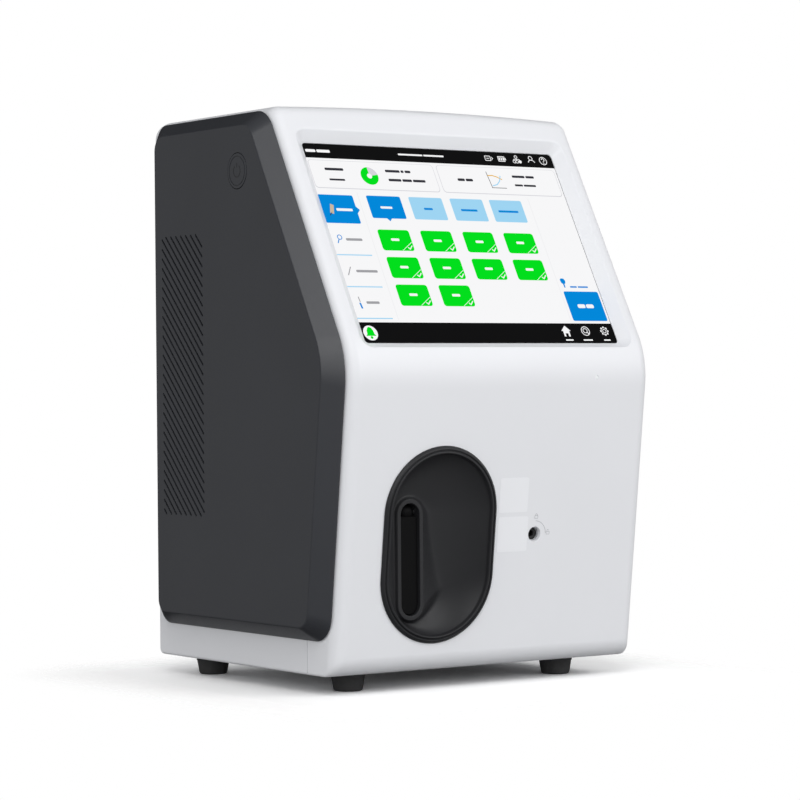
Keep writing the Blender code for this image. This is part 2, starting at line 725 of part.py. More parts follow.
def rear_housing():
    housing = housing_shell("rear_housing")
    cut(housing, front_zone("rear_zone", SEAM))
    margin = 0.001
    vents = block("vent_opening", (-HALF_WIDTH - 0.01, KINK_Y + VENT_FRONT + margin, VENT_BOTTOM + margin),
                  (-INNER_SIDE + 0.005, KINK_Y + VENT_REAR - margin, VENT_TOP - margin))
    bay = block("bay_opening", (INNER_SIDE - 0.005, KINK_Y + BAY_FRONT, BAY_BOTTOM),
                (HALF_WIDTH + 0.01, KINK_Y + BAY_REAR, BAY_TOP))
    upper = block("upper_bay_opening", (INNER_SIDE - 0.005, KINK_Y + UPPER_BAY_FRONT, UPPER_BAY_BOTTOM),
                  (HALF_WIDTH + 0.01, KINK_Y + BAY_REAR, UPPER_BAY_TOP))
    inlet = block("inlet_hole",
                  (INLET_X - INLET_WIDTH / 2, REAR_Y - 0.01, INLET_HEIGHT - INLET_TALL / 2),
                  (INLET_X + INLET_WIDTH / 2, REAR_Y + 0.01, INLET_HEIGHT + INLET_TALL / 2))
    panel = block("panel_hole",
                  (PANEL_X - PANEL_WIDTH / 2, REAR_Y - 0.01, PANEL_HEIGHT - PANEL_TALL / 2),
                  (PANEL_X + PANEL_WIDTH / 2, REAR_Y + 0.01, PANEL_HEIGHT + PANEL_TALL / 2))
    return cut(housing, vents, bay, upper, inlet, panel)


def hinge_ear(name, start):
    """A lug with a round end about the hinge axis."""
    root = HALF_WIDTH + GAP
    outline = [(root, HINGE_Y - BARREL_RADIUS), (HINGE_X, HINGE_Y - BARREL_RADIUS)]
    for step in range(1, 6):
        angle = -math.pi / 2 + math.pi * step / 6
        outline.append((HINGE_X + BARREL_RADIUS * math.cos(angle),
                        HINGE_Y + BARREL_RADIUS * math.sin(angle)))
    outline += [(HINGE_X, HINGE_Y + BARREL_RADIUS), (root, HINGE_Y + BARREL_RADIUS)]
    return extruded(name, outline, AXIS_Z, start, start + EAR_THICK)


def hinge_bracket(name, low):
    """Steel bracket on the side wall with an ear above and below the door's barrel."""
    high = low + BARREL_LENGTH
    bracket = block(name, (HALF_WIDTH + GAP, HINGE_Y - BARREL_RADIUS, low - GAP - EAR_THICK),
                    (HALF_WIDTH + GAP + HINGE_SHEET, HINGE_Y + BARREL_RADIUS, high + GAP + EAR_THICK), "steel")
    join(bracket, hinge_ear(name + "_under", low - GAP - EAR_THICK), hinge_ear(name + "_over", high + GAP))
    return cut(bracket, rod(name + "_bore", (HINGE_X, HINGE_Y), PIN_RADIUS + RUNNING,
                            low - EAR_THICK - 0.002, high + EAR_THICK + 0.002, AXIS_Z, sides=12))


def cover_corners(front, rear, low, high, steep):
    """A side cover's outline as (y, z), in the housing's own order of corners."""
    kink_y = KINK_Y + front
    bottom_y = kink_y + (KINK_HEIGHT - low) * math.tan(UNDERCUT)
    top_y = kink_y + (high - KINK_HEIGHT) * math.tan(SCREEN_TILT)
    return [(bottom_y, low), (REAR_Y - rear - steep, low), (REAR_Y - rear - steep, high),
            (top_y, high), (kink_y, KINK_HEIGHT)]


def cover_shell(name, side, front, rear, rear_bevel, finish):
    """A bevelled moulded cover on one side of the housing, hollow behind its flat."""
    steps = [4, 3, 3, 4, 5]
    base = HALF_WIDTH + GAP
    flat = HALF_WIDTH + COVER_THICK
    outer = cover_corners(front, rear, COVER_BOTTOM, COVER_TOP, 0.0)
    plateau = cover_corners(front + COVER_BEVEL, rear, COVER_BOTTOM + COVER_BEVEL,
                            COVER_TOP - COVER_TOP_BEVEL, rear_bevel)

    def section(corners, rounds, shrink, x):
        outline = fillet(inset(corners, [shrink] * 5), [size - shrink for size in rounds], steps)
        return [(y, z, side * x) for y, z in outline]

    skin = loft(name, [
        section(outer, COVER_ROUNDS, SHADOW_GAP, base),
        section(outer, COVER_ROUNDS, SHADOW_GAP, base + SHADOW_GAP),
        section(outer, COVER_ROUNDS, 0.0, base + SHADOW_GAP),
        section(plateau, PLATEAU_ROUNDS, 0.0, flat),
    ], AXIS_X, finish)
    hollow = loft(name + "_hollow", [
        section(outer, COVER_ROUNDS, COVER_SHELL + SHADOW_GAP, base - 0.002),
        section(outer, COVER_ROUNDS, COVER_SHELL + SHADOW_GAP, base + SHADOW_GAP),
        section(plateau, PLATEAU_ROUNDS, COVER_SHELL, flat - COVER_SHELL),
    ], AXIS_X)
    return cut(skin, hollow)


def vent_slots():
    """Parallel slots at 45 degrees that fill a rectangle, ends rounded, as one cutter."""
    shape = bmesh.new()
    front = KINK_Y + VENT_FRONT
    rear = KINK_Y + VENT_REAR
    lowest = VENT_BOTTOM - rear
    count = int((VENT_TOP - front - lowest) / VENT_PITCH)
    radius = VENT_WIDTH / 2
    lean = math.radians(45)
    for index in range(count):
        rise = lowest + VENT_PITCH * (index + 0.5)
        start_y = max(front, VENT_BOTTOM - rise)
        end_y = min(rear, VENT_TOP - rise)
        length = (end_y - start_y) / math.cos(lean)
        if length < VENT_SHORTEST:
            continue
        middle_y = (start_y + end_y) / 2
        outline = stadium(VENT_WIDTH, length + radius, steps=1)
        turn = Matrix.Translation((middle_y, middle_y + rise, 0)) @ Matrix.Rotation(-lean, 4, 'Z')
        low = [shape.verts.new(turn @ Vector((u, v, -HALF_WIDTH - COVER_THICK - 0.003)))
               for u, v in outline]
        face = shape.faces.new(low)
        lifted = bmesh.ops.extrude_face_region(shape, geom=[face])
        moved = [item for item in lifted["geom"] if isinstance(item, bmesh.types.BMVert)]
        bmesh.ops.translate(shape, vec=(0, 0, COVER_SHELL + 0.006), verts=moved)
    return place("vent_slots", finish_mesh(shape, "vent_slots"), AXIS_X)


def left_side_cover():
    cover = cover_shell("left_side_cover", -1, COVER_FRONT_SETBACK, COVER_REAR_SETBACK,
                        COVER_REAR_BEVEL, "charcoal_plastic")
    button = rod("button_hole", (KINK_Y + BUTTON_DEPTH, BUTTON_HEIGHT), BUTTON_RADIUS + SLIDING,
                 -HALF_WIDTH - COVER_THICK - 0.002, -HALF_WIDTH - 0.004, AXIS_X, sides=32)
    return cut(cover, vent_slots(), button)


def right_door():
    door = cover_shell("right_door", 1, DOOR_FRONT_SETBACK, DOOR_REAR_SETBACK, DOOR_REAR_BEVEL,
                       "charcoal_plastic")
    edge_y = KINK_Y + DOOR_FRONT_SETBACK + (KINK_HEIGHT - SCOOP_HEIGHT) * math.tan(UNDERCUT)
    scoop = [(HALF_WIDTH - 0.001, edge_y - 0.010), (HALF_WIDTH + SCOOP_DEPTH, edge_y - 0.010),
             (HALF_WIDTH + SCOOP_DEPTH, edge_y + 0.0012), (HALF_WIDTH - 0.001, edge_y + 0.0012)]
    cut(door, extruded("finger_scoop", scoop, AXIS_Z, SCOOP_HEIGHT - SCOOP_LENGTH / 2,
                       SCOOP_HEIGHT + SCOOP_LENGTH / 2))
    for label, low in (("low", BARREL_LOW), ("high", BARREL_HIGH)):
        high = low + BARREL_LENGTH
        arm = block("door_arm_" + label, (HINGE_X - BARREL_RADIUS + 0.001, HINGE_Y - DOOR_ARM, low),
                    (HINGE_X + BARREL_RADIUS, HINGE_Y, high))
        barrel = rod("door_barrel_" + label, (HINGE_X, HINGE_Y), BARREL_RADIUS, low, high, AXIS_Z,
                     sides=16)
        bore = rod("door_bore_" + label, (HINGE_X, HINGE_Y), PIN_RADIUS + RUNNING, low - 0.002,
                   high + 0.002, AXIS_Z, sides=12)
        join(door, arm, barrel)
        cut(door, bore)
    return pivot_on(door, (HINGE_X, HINGE_Y, 0.0), "right_door_axis")


def hinge_pin(name, low):
    return rod(name, (HINGE_X, HINGE_Y), PIN_RADIUS, low - EAR_THICK, low + BARREL_LENGTH + EAR_THICK,
               AXIS_Z, "steel", sides=12)


def power_button():
    frame = (Matrix.Translation((-HALF_WIDTH - COVER_THICK - BUTTON_PROUD, KINK_Y + BUTTON_DEPTH,
                                 BUTTON_HEIGHT)) @ Matrix.Rotation(math.radians(-90), 4, 'Y'))
    ring_inner = BUTTON_RING - RING_WIDTH / 2
    ring_outer = BUTTON_RING + RING_WIDTH / 2
    stem_end = COVER_THICK + BUTTON_PROUD - GAP - BOARD_THICK - SWITCH_HEIGHT - BUTTON_TRAVEL - 2 * GAP
    under = COVER_SHELL + BUTTON_PROUD + BUTTON_TRAVEL
    flange_end = under - BUTTON_TRAVEL + GAP + BUTTON_FLANGE_THICK
    profile = [
        (0.0, 0.0), (ring_inner, 0.0), (ring_inner, -RING_DEPTH), (ring_outer, -RING_DEPTH),
        (ring_outer, 0.0), (BUTTON_RADIUS - 0.0004, 0.0), (BUTTON_RADIUS, -0.0004),
        (BUTTON_RADIUS, -(flange_end - BUTTON_FLANGE_THICK)),
        (BUTTON_FLANGE, -(flange_end - BUTTON_FLANGE_THICK)), (BUTTON_FLANGE, -flange_end),
        (STEM_RADIUS, -flange_end), (STEM_RADIUS, -stem_end), (0.0, -stem_end),
    ]
    return turned("power_button", profile, frame, 32, "charcoal_plastic")


def switch_board():
    middle_y = KINK_Y + BUTTON_DEPTH
    board = block("switch_board",
                  (-HALF_WIDTH - GAP - BOARD_THICK, middle_y - SWITCH_BOARD / 2,
                   BUTTON_HEIGHT - SWITCH_BOARD / 2),
                  (-HALF_WIDTH - GAP, middle_y + SWITCH_BOARD / 2, BUTTON_HEIGHT + SWITCH_BOARD / 2),
                  "circuit_board")
    half = SWITCH_SIZE / 2
    top = -HALF_WIDTH - GAP - BOARD_THICK - SWITCH_HEIGHT
    body = block("switch_body", (top, middle_y - half, BUTTON_HEIGHT - half),
                 (-HALF_WIDTH - GAP - BOARD_THICK / 2, middle_y + half, BUTTON_HEIGHT + half))
    return join(board, body)


def touch_glass():
    return extruded("touch_glass",
                    rectangle(SCREEN_WIDTH + 2 * GLASS_MARGIN, SCREEN_HEIGHT + 2 * GLASS_MARGIN,
                              (0.0, SCREEN_MIDDLE)),
                    SCREEN_FACE, -GLASS_FRONT - GLASS_THICK, -GLASS_FRONT, "screen_glass")


def display_size():
    return (SCREEN_WIDTH + 2 * GLASS_MARGIN + 2 * LCD_OVERLAP,
            SCREEN_HEIGHT + 2 * GLASS_MARGIN + 2 * LCD_OVERLAP)


def lcd_module():
    width, height = display_size()
    middle = (0.0, SCREEN_MIDDLE)
    module = extruded("lcd_module", rectangle(width, height, middle), SCREEN_FACE,
                      -LCD_FRONT - LCD_THICK, -LCD_FRONT, "black_plastic")
    step = extruded("lcd_step", rectangle(width - 0.012, height - 0.012, middle), SCREEN_FACE,
                    -LCD_FRONT - LCD_THICK - 0.001, -LCD_FRONT - LCD_THICK + 0.0008)
    return cut(module, step)


def screen_frame():
    """Folded steel pan behind the display, with four standoffs for the main board."""
    width, height = display_size()
    middle = (0.0, SCREEN_MIDDLE)
    back = FRAME_FRONT + FRAME_SHEET
    pan = extruded("screen_frame", rectangle(width, height, middle), SCREEN_FACE,
                   -back - FRAME_FLANGE, -FRAME_FRONT, "galvanised_steel")
    inside = extruded("frame_inside", rectangle(width - 2 * FRAME_SHEET, height - 2 * FRAME_SHEET, middle),
                      SCREEN_FACE, -back - FRAME_FLANGE - 0.01, -back)
    cut(pan, inside)
    for across in (-1, 1):
        for up in (-1, 1):
            centre = (across * (BOARD_WIDTH / 2 - 0.006), SCREEN_MIDDLE + up * (BOARD_HEIGHT / 2 - 0.006))
            join(pan, rod("standoff_%d_%d" % (across, up), centre, STANDOFF_RADIUS,
                          -back - STANDOFF_HEIGHT, -back + FRAME_SHEET / 2, SCREEN_FACE, sides=8))
    return pan


def main_board():
    front = FRAME_FRONT + FRAME_SHEET + STANDOFF_HEIGHT + GAP
    board = extruded("main_board", rectangle(BOARD_WIDTH, BOARD_HEIGHT, (0.0, SCREEN_MIDDLE)), SCREEN_FACE,
                     -front - BOARD_THICK, -front, "circuit_board")
    back = front + BOARD_THICK
    chips = (("processor", (-0.030, 0.010), (0.032, 0.032), 0.004),
             ("heat_sink", (0.030, 0.012), (0.030, 0.030), 0.010),
             ("memory", (-0.068, 0.0), (0.012, 0.060), 0.003),
             ("plug_row", (0.0, -0.046), (0.090, 0.008), 0.007))
    for label, (across, up), (wide, tall), high in chips:
        join(board, extruded(label, rectangle(wide, tall, (across, SCREEN_MIDDLE + up)), SCREEN_FACE,
                             -back - high, -back + BOARD_THICK / 2))
    return board


def divided_stadium(width, height, centre):
    """Outline with round ends whose straight sides are divided as well."""
    outline = stadium(width, height, centre)
    half = len(outline) // 2
    points = []
    for first in (0, half):
        points += outline[first:first + half]
        start = Vector(outline[first + half - 1])
        end = Vector(outline[(first + half) % len(outline)])
        points += [tuple(start.lerp(end, step / STRAIGHT_STEPS)) for step in range(1, STRAIGHT_STEPS)]
    return points


def rim_ring(inward, proud):
    return ring(divided_stadium(PORT_WIDTH - 2 * inward, PORT_HEIGHT - 2 * inward, (PORT_X, PORT_MIDDLE)),
                proud)


def slot_ring(grow, out):
    """Ring round the slot, upright like its lip, given in the lower front's frame."""
    change = LOWER_FACE.inverted() @ SLOT_FACE
    outline = divided_stadium(SLOT_WIDTH + 2 * grow, SLOT_HEIGHT + 2 * grow, (SLOT_X, SLOT_HEIGHT / 2))
    return [change @ Vector((across, up, out)) for across, up in outline]


def flank_slope(index):
    """Fall of the lip's flank beside that point of a ring, counted from the slot's upper right."""
    marks = ((0, FLANK_HIGH), (ARC_STEPS, FLANK_STEEP), (2 * ARC_STEPS + STRAIGHT_STEPS, FLANK_STEEP),
             (3 * ARC_STEPS + STRAIGHT_STEPS, FLANK_BOTTOM), (4 * ARC_STEPS + STRAIGHT_STEPS, FLANK_LOW),
             (4 * ARC_STEPS + 2 * STRAIGHT_STEPS, FLANK_HIGH))
    for (first, low), (last, high) in zip(marks, marks[1:]):
        if index <= last:
            return low + (high - low) * (index - first) / (last - first)
    return FLANK_HIGH


def bowl_rays():
    """For every ring point: rim point, lip point, depth the bowl falls to and slope of the flank."""
    rays = []
    lip = slot_ring(SLOT_LIP, 0.0)
    rim = rim_ring(PORT_RIM, 0.0)
    middle = len(lip) / 2
    for index, (outer, inner) in enumerate(zip(rim, lip)):
        step = index if index < middle else index - middle
        angle = math.pi * min(step / (2 * ARC_STEPS), 1.0) + (0.0 if index < middle else math.pi)
        across = math.cos(angle)
        up = math.sin(angle)
        floor = (BOWL_RIGHT * max(across, 0.0) ** 2 + BOWL_TOP * max(up, 0.0) ** 2
                 + BOWL_BOTTOM * max(-up, 0.0) ** 2)
        rays.append((Vector(outer), inner, max(floor, BOWL_LEAST - inner.z), flank_slope(index)))
    return rays


def bowl_fall(floor, span, from_rim):
    """Depth of the rounded side that falls from the rim."""
    reach = BOWL_FALL * span
    return floor * (1 - math.exp(-from_rim / reach)) / (1 - math.exp(-1 / BOWL_FALL))


def bowl_row(share):
    """Ring of the bowl's face at that share of the way from the rim to the lip."""
    row = []
    for outer, inner, floor, slope in bowl_rays():
        span = (inner.xy - outer.xy).length
        side = bowl_fall(floor, span, share * span)
        flank = LIP_STEP - inner.z + slope * (1 - share) * span
        depth = (side + flank - math.hypot(side - flank, BOWL_BLEND)) / 2
        across, up = outer.xy.lerp(inner.xy, share)
        row.append((across, up, -depth))
    return row


def shell_row(share):
    """Ring of the shell's back behind the bowl."""
    row = []
    for outer, inner, floor, _ in bowl_rays():
        span = (inner.xy - outer.xy).length
        across, up = outer.xy.lerp(inner.xy, share)
        row.append((across, up, -bowl_fall(floor, span, share * span + SHELL_SHIFT) - PORT_WALL))
    return row


def tube_foot():
    """Ring where the slot's tube leaves the shell's back."""
    start = slot_ring(TUBE_WALL, 0.0)
    end = slot_ring(TUBE_WALL, -SLOT_REACH)
    row = []
    for first, last, (_, _, floor, _) in zip(start, end, bowl_rays()):
        share = (floor + PORT_WALL + first.z) / (first.z - last.z)
        row.append(first.lerp(last, min(share, 1.0)))
    return row


def port_bezel():
    """Sculpted sample port in one skin: rim, bowl, raised lip, slot, tube and shell behind."""
    rings = [rim_ring(inward, proud) for inward, proud in RIM_PROFILE]
    rings.append(rim_ring(PORT_RIM, 0.0))
    rings += [bowl_row(share) for share in BOWL_ROWS]
    rings += [slot_ring(SLOT_LIP, -LIP_EDGE), slot_ring(SLOT_LIP - LIP_EDGE, 0.0),
              slot_ring(LIP_EDGE, 0.0), slot_ring(0.0, -LIP_EDGE),
              slot_ring(0.0, -SLOT_REACH), slot_ring(TUBE_WALL, -SLOT_REACH), tube_foot()]
    rings += [shell_row(share) for share in SHELL_ROWS]
    rings += [rim_ring(PORT_HOLE_MARGIN + GAP, -PORT_NECK), rim_ring(PORT_HOLE_MARGIN + GAP, GAP)]
    bezel = loft("port_bezel", rings, LOWER_FACE, "port_plastic", tunnel=True)
    reach = SHAFT_HALF + GAP
    return cut(bezel, rod("shaft_pockets", PIVOT, SHAFT_RADIUS + GAP, SLOT_X - reach, SLOT_X + reach,
                          across_slot(), sides=16))


def across_slot():
    """Frame whose local X and Y are up and outwards from the slot's lower end, and whose Z is world X."""
    return SLOT_FACE @ Matrix(((0, 0, 1, 0), (1, 0, 0, 0), (0, 1, 0, 0), (0, 0, 0, 1)))


def lever_outline():
    """Side view of the lever below its pivot, as (up, outwards)."""
    foot = LEVER_PLAY
    along, out = PIVOT
    face = -LEVER_FACE
    plate = foot + PLATE_LENGTH
    return [(along - 0.0030, face), (foot, face), (foot, face - LEVER_PLATE), (plate, face - LEVER_PLATE),
            (plate + 0.0050, -LEVER_BACK), (along - 0.0060, -LEVER_BACK), (along - 0.0022, out - 0.0012),
            (along - 0.0022, out + 0.0030)]


def probe_lever():
    """Lever with a barrel-shaped head that fills the slot's round end."""
    frame = across_slot()
    half = LEVER_WIDTH / 2
    lever = extruded("probe_lever", lever_outline(), frame, SLOT_X - half, SLOT_X + half, "port_plastic")
    tall = SLOT_HEIGHT + 2 * LEVER_WIDTH
    front = extruded("lever_front", stadium(LEVER_WIDTH, tall, (SLOT_X, LEVER_PLAY + tall / 2)),
                     SLOT_FACE, -SLOT_REACH, SLOT_REACH)
    high = [(radius, SLOT_X + across) for radius, across in HEAD_PROFILE]
    low = [(radius, SLOT_X - across) for radius, across in HEAD_PROFILE[::-1]]
    end = HEAD_PROFILE[0][1]
    head = turned("lever_head", [(0.0, SLOT_X + end)] + high + low + [(0.0, SLOT_X - end)],
                  frame @ Matrix.Translation((*PIVOT, 0.0)), 20)
    bore = rod("lever_bore", PIVOT, SHAFT_RADIUS + RUNNING, SLOT_X - LEVER_WIDTH, SLOT_X + LEVER_WIDTH,
               frame, sides=16)
    top = LEVER_PLAY + NEEDLE_FOOT + NEEDLE_LENGTH + GAP
    channel = upright_rod("needle_channel", NEEDLE_RADIUS + RUNNING, LEVER_PLAY + NEEDLE_FOOT, top)
    join(keep(lever, front), head)
    cut(lever, bore, channel)
    return pivot_on(lever, frame @ Vector((*PIVOT, SLOT_X)), "probe_axis")


def upright_rod(name, radius, start, end, finish=None):
    """A thin upright bar behind the lever's face."""
    frame = SLOT_FACE @ Matrix(((1, 0, 0, 0), (0, 0, 1, 0), (0, -1, 0, 0), (0, 0, 0, 1)))
    return rod(name, (SLOT_X, NEEDLE_DEPTH), radius, start, end, frame, finish, sides=10)


def probe_needle():
    foot = LEVER_PLAY + NEEDLE_FOOT
    needle = upright_rod("probe_needle", NEEDLE_RADIUS, foot, foot + NEEDLE_LENGTH, "steel")
    return pivot_on(needle, across_slot() @ Vector((*PIVOT, SLOT_X)), "probe_axis")


def probe_shaft():
    return rod("probe_shaft", PIVOT, SHAFT_RADIUS, SLOT_X - SHAFT_HALF, SLOT_X + SHAFT_HALF, across_slot(),
               "steel", sides=16)


def lock_sleeve():
    front = WALL + GAP
    centre = (LOCK_X, -LOCK_DROP)
    sleeve = rod("lock_sleeve", centre, SLEEVE_FLANGE, -front - 0.002, -front, LOWER_FACE, "steel", sides=20)
    join(sleeve, rod("sleeve_tube", centre, SLEEVE_RADIUS, -front - SLEEVE_LENGTH, -front - 0.001,
                     LOWER_FACE, sides=20))
    return cut(sleeve, rod("sleeve_bore", centre, SPINDLE_RADIUS + RUNNING, -front - SLEEVE_LENGTH - 0.01,
                           0.005, LOWER_FACE, sides=20))


def lock_spindle():
    """Key spindle with a hexagonal socket, and the claw that holds the reagent pack."""
    centre = (LOCK_X, -LOCK_DROP)
    spindle = rod("lock_spindle", centre, SPINDLE_RADIUS, -CLAW_DEPTH - CLAW_THICK, -SPINDLE_FACE,
                  LOWER_FACE, "black_plastic", sides=20)
    x, y = centre
    half = CLAW_WIDTH / 2
    tip = y + CLAW_ARM - CLAW_TIP
    claw = [(x - half, y - half), (x + half, y - half), (x + half, tip), (x + CLAW_REACH, tip),
            (x + CLAW_REACH, y + CLAW_ARM), (x - half, y + CLAW_ARM)]
    join(spindle, extruded("lock_claw", claw, LOWER_FACE, -CLAW_DEPTH - CLAW_THICK, -CLAW_DEPTH),
         rod("claw_hub", centre, CLAW_HUB, -CLAW_DEPTH - CLAW_THICK, -CLAW_DEPTH, LOWER_FACE, sides=20))
    cut(spindle, rod("key_socket", centre, KEY_ACROSS, -SPINDLE_FACE - KEY_DEPTH, 0.0, LOWER_FACE, sides=6))
    return pivot_on(spindle, LOWER_FACE @ Vector((*centre, -SPINDLE_FACE)), "lock_axis")


def status_light_pipe():
    """Clear pipe from the lamp to a small dot in the front cover, with a flange inside."""
    nose_y = -HOUSING_DEPTH / 2
    pipe = rod("status_light_pipe", (LAMP_HEIGHT, LAMP_X), LAMP_RADIUS, nose_y + 0.0001,
               nose_y + LAMP_LENGTH, AXIS_Y, "lamp_plastic", sides=12)
    flange_y = nose_y + WALL + 2 * GAP
    return join(pipe, rod("lamp_flange", (LAMP_HEIGHT, LAMP_X), LAMP_FLANGE, flange_y, flange_y + 0.0015,
                          AXIS_Y, sides=12))


def foot(name, x, depth):
    top = HOUSING_BOTTOM - GAP
    frame = Matrix.Translation((x, KINK_Y + depth, 0.0))
    profile = [(0.0, top), (FOOT_TOP_RADIUS, top), (FOOT_TOP_RADIUS, top - 0.003),
               (FOOT_BOTTOM_RADIUS, 0.0008), (FOOT_BOTTOM_RADIUS - 0.0008, 0.0), (0.0040, 0.0),
               (0.0040, 0.0040), (0.0, 0.0040)]
    return turned(name, profile, frame, 20, "black_rubber")


def base_plate():
    """Steel tray on the housing's floor, sides folded up."""
    low = FLOOR + GAP
    side = INNER_SIDE - 0.0030
    front = KINK_Y + SEAM_DEPTH - 0.0150
    rear = REAR_Y - WALL - 0.0030
    tray = block("base_plate", (-side, front, low), (side, rear, low + BASE_FLANGE), "galvanised_steel")
    inside = block("base_inside", (-side + BASE_SHEET, front - 0.01, low + BASE_SHEET),
                   (side - BASE_SHEET, rear - BASE_SHEET, low + BASE_FLANGE + 0.01))
    return cut(tray, inside)


def base_top():
    return FLOOR + GAP + BASE_SHEET


def bulkhead():
    """Upright steel wall with a folded foot, cut back behind the screen, with a hole for the pump."""
    low = base_top() + GAP
    front = KINK_Y + SEAM_DEPTH + 0.0020
    rear = REAR_Y - WALL - 0.0080
    slope_start = 0.185
    outline = [(front, low), (rear, low), (rear, BULKHEAD_TOP),
               (front + (BULKHEAD_TOP - slope_start) * math.tan(SCREEN_TILT), BULKHEAD_TOP),
               (front, slope_start)]
    wall = extruded("bulkhead", outline, AXIS_X, BULKHEAD_X, BULKHEAD_X + BULKHEAD_SHEET, "galvanised_steel")
    fold = block("bulkhead_foot", (BULKHEAD_X - BULKHEAD_FOOT, front + 0.02, low),
                 (BULKHEAD_X + BULKHEAD_SHEET / 2, rear, low + BULKHEAD_SHEET))
    join(wall, fold)
    hole = rod("pump_shaft_hole", (KINK_Y + PUMP_DEPTH, PUMP_HEIGHT), 0.006, BULKHEAD_X - 0.01,
               BULKHEAD_X + 0.01, AXIS_X, sides=16)
    return cut(wall, hole)


def bay_shelf():
    """Shelf over the reagent pack, its edge on the bulkhead folded down."""
    left = BULKHEAD_X + BULKHEAD_SHEET + GAP
    shelf = block("bay_shelf", (left, KINK_Y + BAY_FRONT, SHELF_HEIGHT),
                  (INNER_SIDE - GAP, KINK_Y + BAY_REAR, SHELF_HEIGHT + SHELF_THICK), "grey_plastic")
    fold = block("shelf_fold", (left, KINK_Y + BAY_FRONT + 0.010, SHELF_HEIGHT),
                 (left + SHELF_THICK, KINK_Y + BAY_REAR - 0.010, SHELF_HEIGHT + 0.006))
    rim = block("shelf_rim", (INNER_SIDE - GAP - SHELF_THICK, KINK_Y + BAY_FRONT, SHELF_HEIGHT),
                (INNER_SIDE - GAP, KINK_Y + BAY_REAR, SHELF_HEIGHT + 0.006))
    return join(shelf, fold, rim)


def bay_tray():
    """Guide tray under the pack: a raised floor with a wall along front and rear."""
    left = BULKHEAD_X + BULKHEAD_SHEET + GAP
    right = INNER_SIDE - 0.0060
    front = KINK_Y + PACK_FRONT - PACK_CLEAR - TRAY_WALL
    rear = KINK_Y + PACK_REAR + PACK_CLEAR + TRAY_WALL
    low = base_top() + GAP
    tray = block("bay_tray", (left, front, low), (right, rear, low + TRAY_HEIGHT + TRAY_GUIDE), "grey_plastic")
    path = block("tray_path", (left + TRAY_WALL, front + TRAY_WALL, low + TRAY_HEIGHT),
                 (right + 0.01, rear - TRAY_WALL, low + TRAY_HEIGHT + TRAY_GUIDE + 0.01))
    under = block("tray_under", (left + TRAY_WALL, front + TRAY_WALL, low - 0.01),
                  (right - TRAY_WALL, rear - TRAY_WALL, low + TRAY_HEIGHT - TRAY_WALL))
    return cut(tray, path, under)


def reagent_pack():
    """Moulded pack of solutions with a catch rib for the lock and a grip in its outer side."""
    left = BULKHEAD_X + BULKHEAD_SHEET + GAP + TRAY_WALL + PACK_CLEAR
    right = INNER_SIDE - 0.0050
    front = KINK_Y + PACK_FRONT
    rear = KINK_Y + PACK_REAR
    low = base_top() + GAP + TRAY_HEIGHT + GAP
    pack = block("reagent_pack", (left, front, low), (right, rear, PACK_TOP), "pack_plastic")
    soften(pack, PACK_ROUND, 2)
    claw = LOWER_FACE @ Vector((LOCK_X, -LOCK_DROP, -CLAW_DEPTH - CLAW_THICK / 2))
    sweep = math.hypot(CLAW_ARM, CLAW_REACH) + 0.0015
    pocket_floor = claw.z - CLAW_REACH - 0.0035
    pocket = block("claw_pocket", (left - 0.01, front - 0.01, pocket_floor),
                   (LOCK_X + sweep, front + PACK_POCKET, claw.z + CLAW_ARM + 0.0025))
    rib = block("catch_rib", (LOCK_X + CLAW_HUB, front + 0.003, pocket_floor - 0.001),
                (LOCK_X + CLAW_HUB + RIB_THICK, front + PACK_POCKET + 0.001, claw.z - CLAW_HUB - CLAW_PLAY))
    middle = (front + rear) / 2
    grip_top = PACK_TOP - GRIP_DROP
    grip = block("pack_grip", (right - GRIP_DEPTH, middle - GRIP_LENGTH / 2, grip_top - GRIP_TALL),
                 (right + 0.01, middle + GRIP_LENGTH / 2, grip_top))
    cut(pack, pocket)
    join(pack, rib)
    return cut(pack, grip)


def door_catch():
    """Magnet block on the front cover's side, with two grooves beside its poles."""
    low = (HALF_WIDTH + GAP, KINK_Y + CATCH_DEPTH, CATCH_HEIGHT)
    face = HALF_WIDTH + COVER_THICK - COVER_SHELL - 2 * GAP - STRIKE_THICK
    high = (face, KINK_Y + CATCH_DEPTH + CATCH_WIDTH, CATCH_HEIGHT + CATCH_TALL)
    catch = block("door_catch", low, high, "black_plastic")
    middle = KINK_Y + CATCH_DEPTH + CATCH_WIDTH / 2
    for side in (-1, 1):
        groove = middle + side * 0.0025
        cut(catch, block("catch_groove_%d" % side, (face - 0.0015, groove - 0.0004, CATCH_HEIGHT + 0.003),
                         (face + 0.001, groove + 0.0004, CATCH_HEIGHT + CATCH_TALL - 0.003)))
    return catch


def door_strike():
    back = HALF_WIDTH + COVER_THICK - COVER_SHELL - GAP
    strike = block("door_strike", (back - STRIKE_THICK, KINK_Y + CATCH_DEPTH, CATCH_HEIGHT),
                   (back, KINK_Y + CATCH_DEPTH + CATCH_WIDTH, CATCH_HEIGHT + CATCH_TALL), "steel")
    return pivot_on(strike, (HINGE_X, HINGE_Y, 0.0), "right_door_axis")


def bay_wall():
    """Where the pieces on the bulkhead's right face begin."""
    return BULKHEAD_X + BULKHEAD_SHEET + GAP


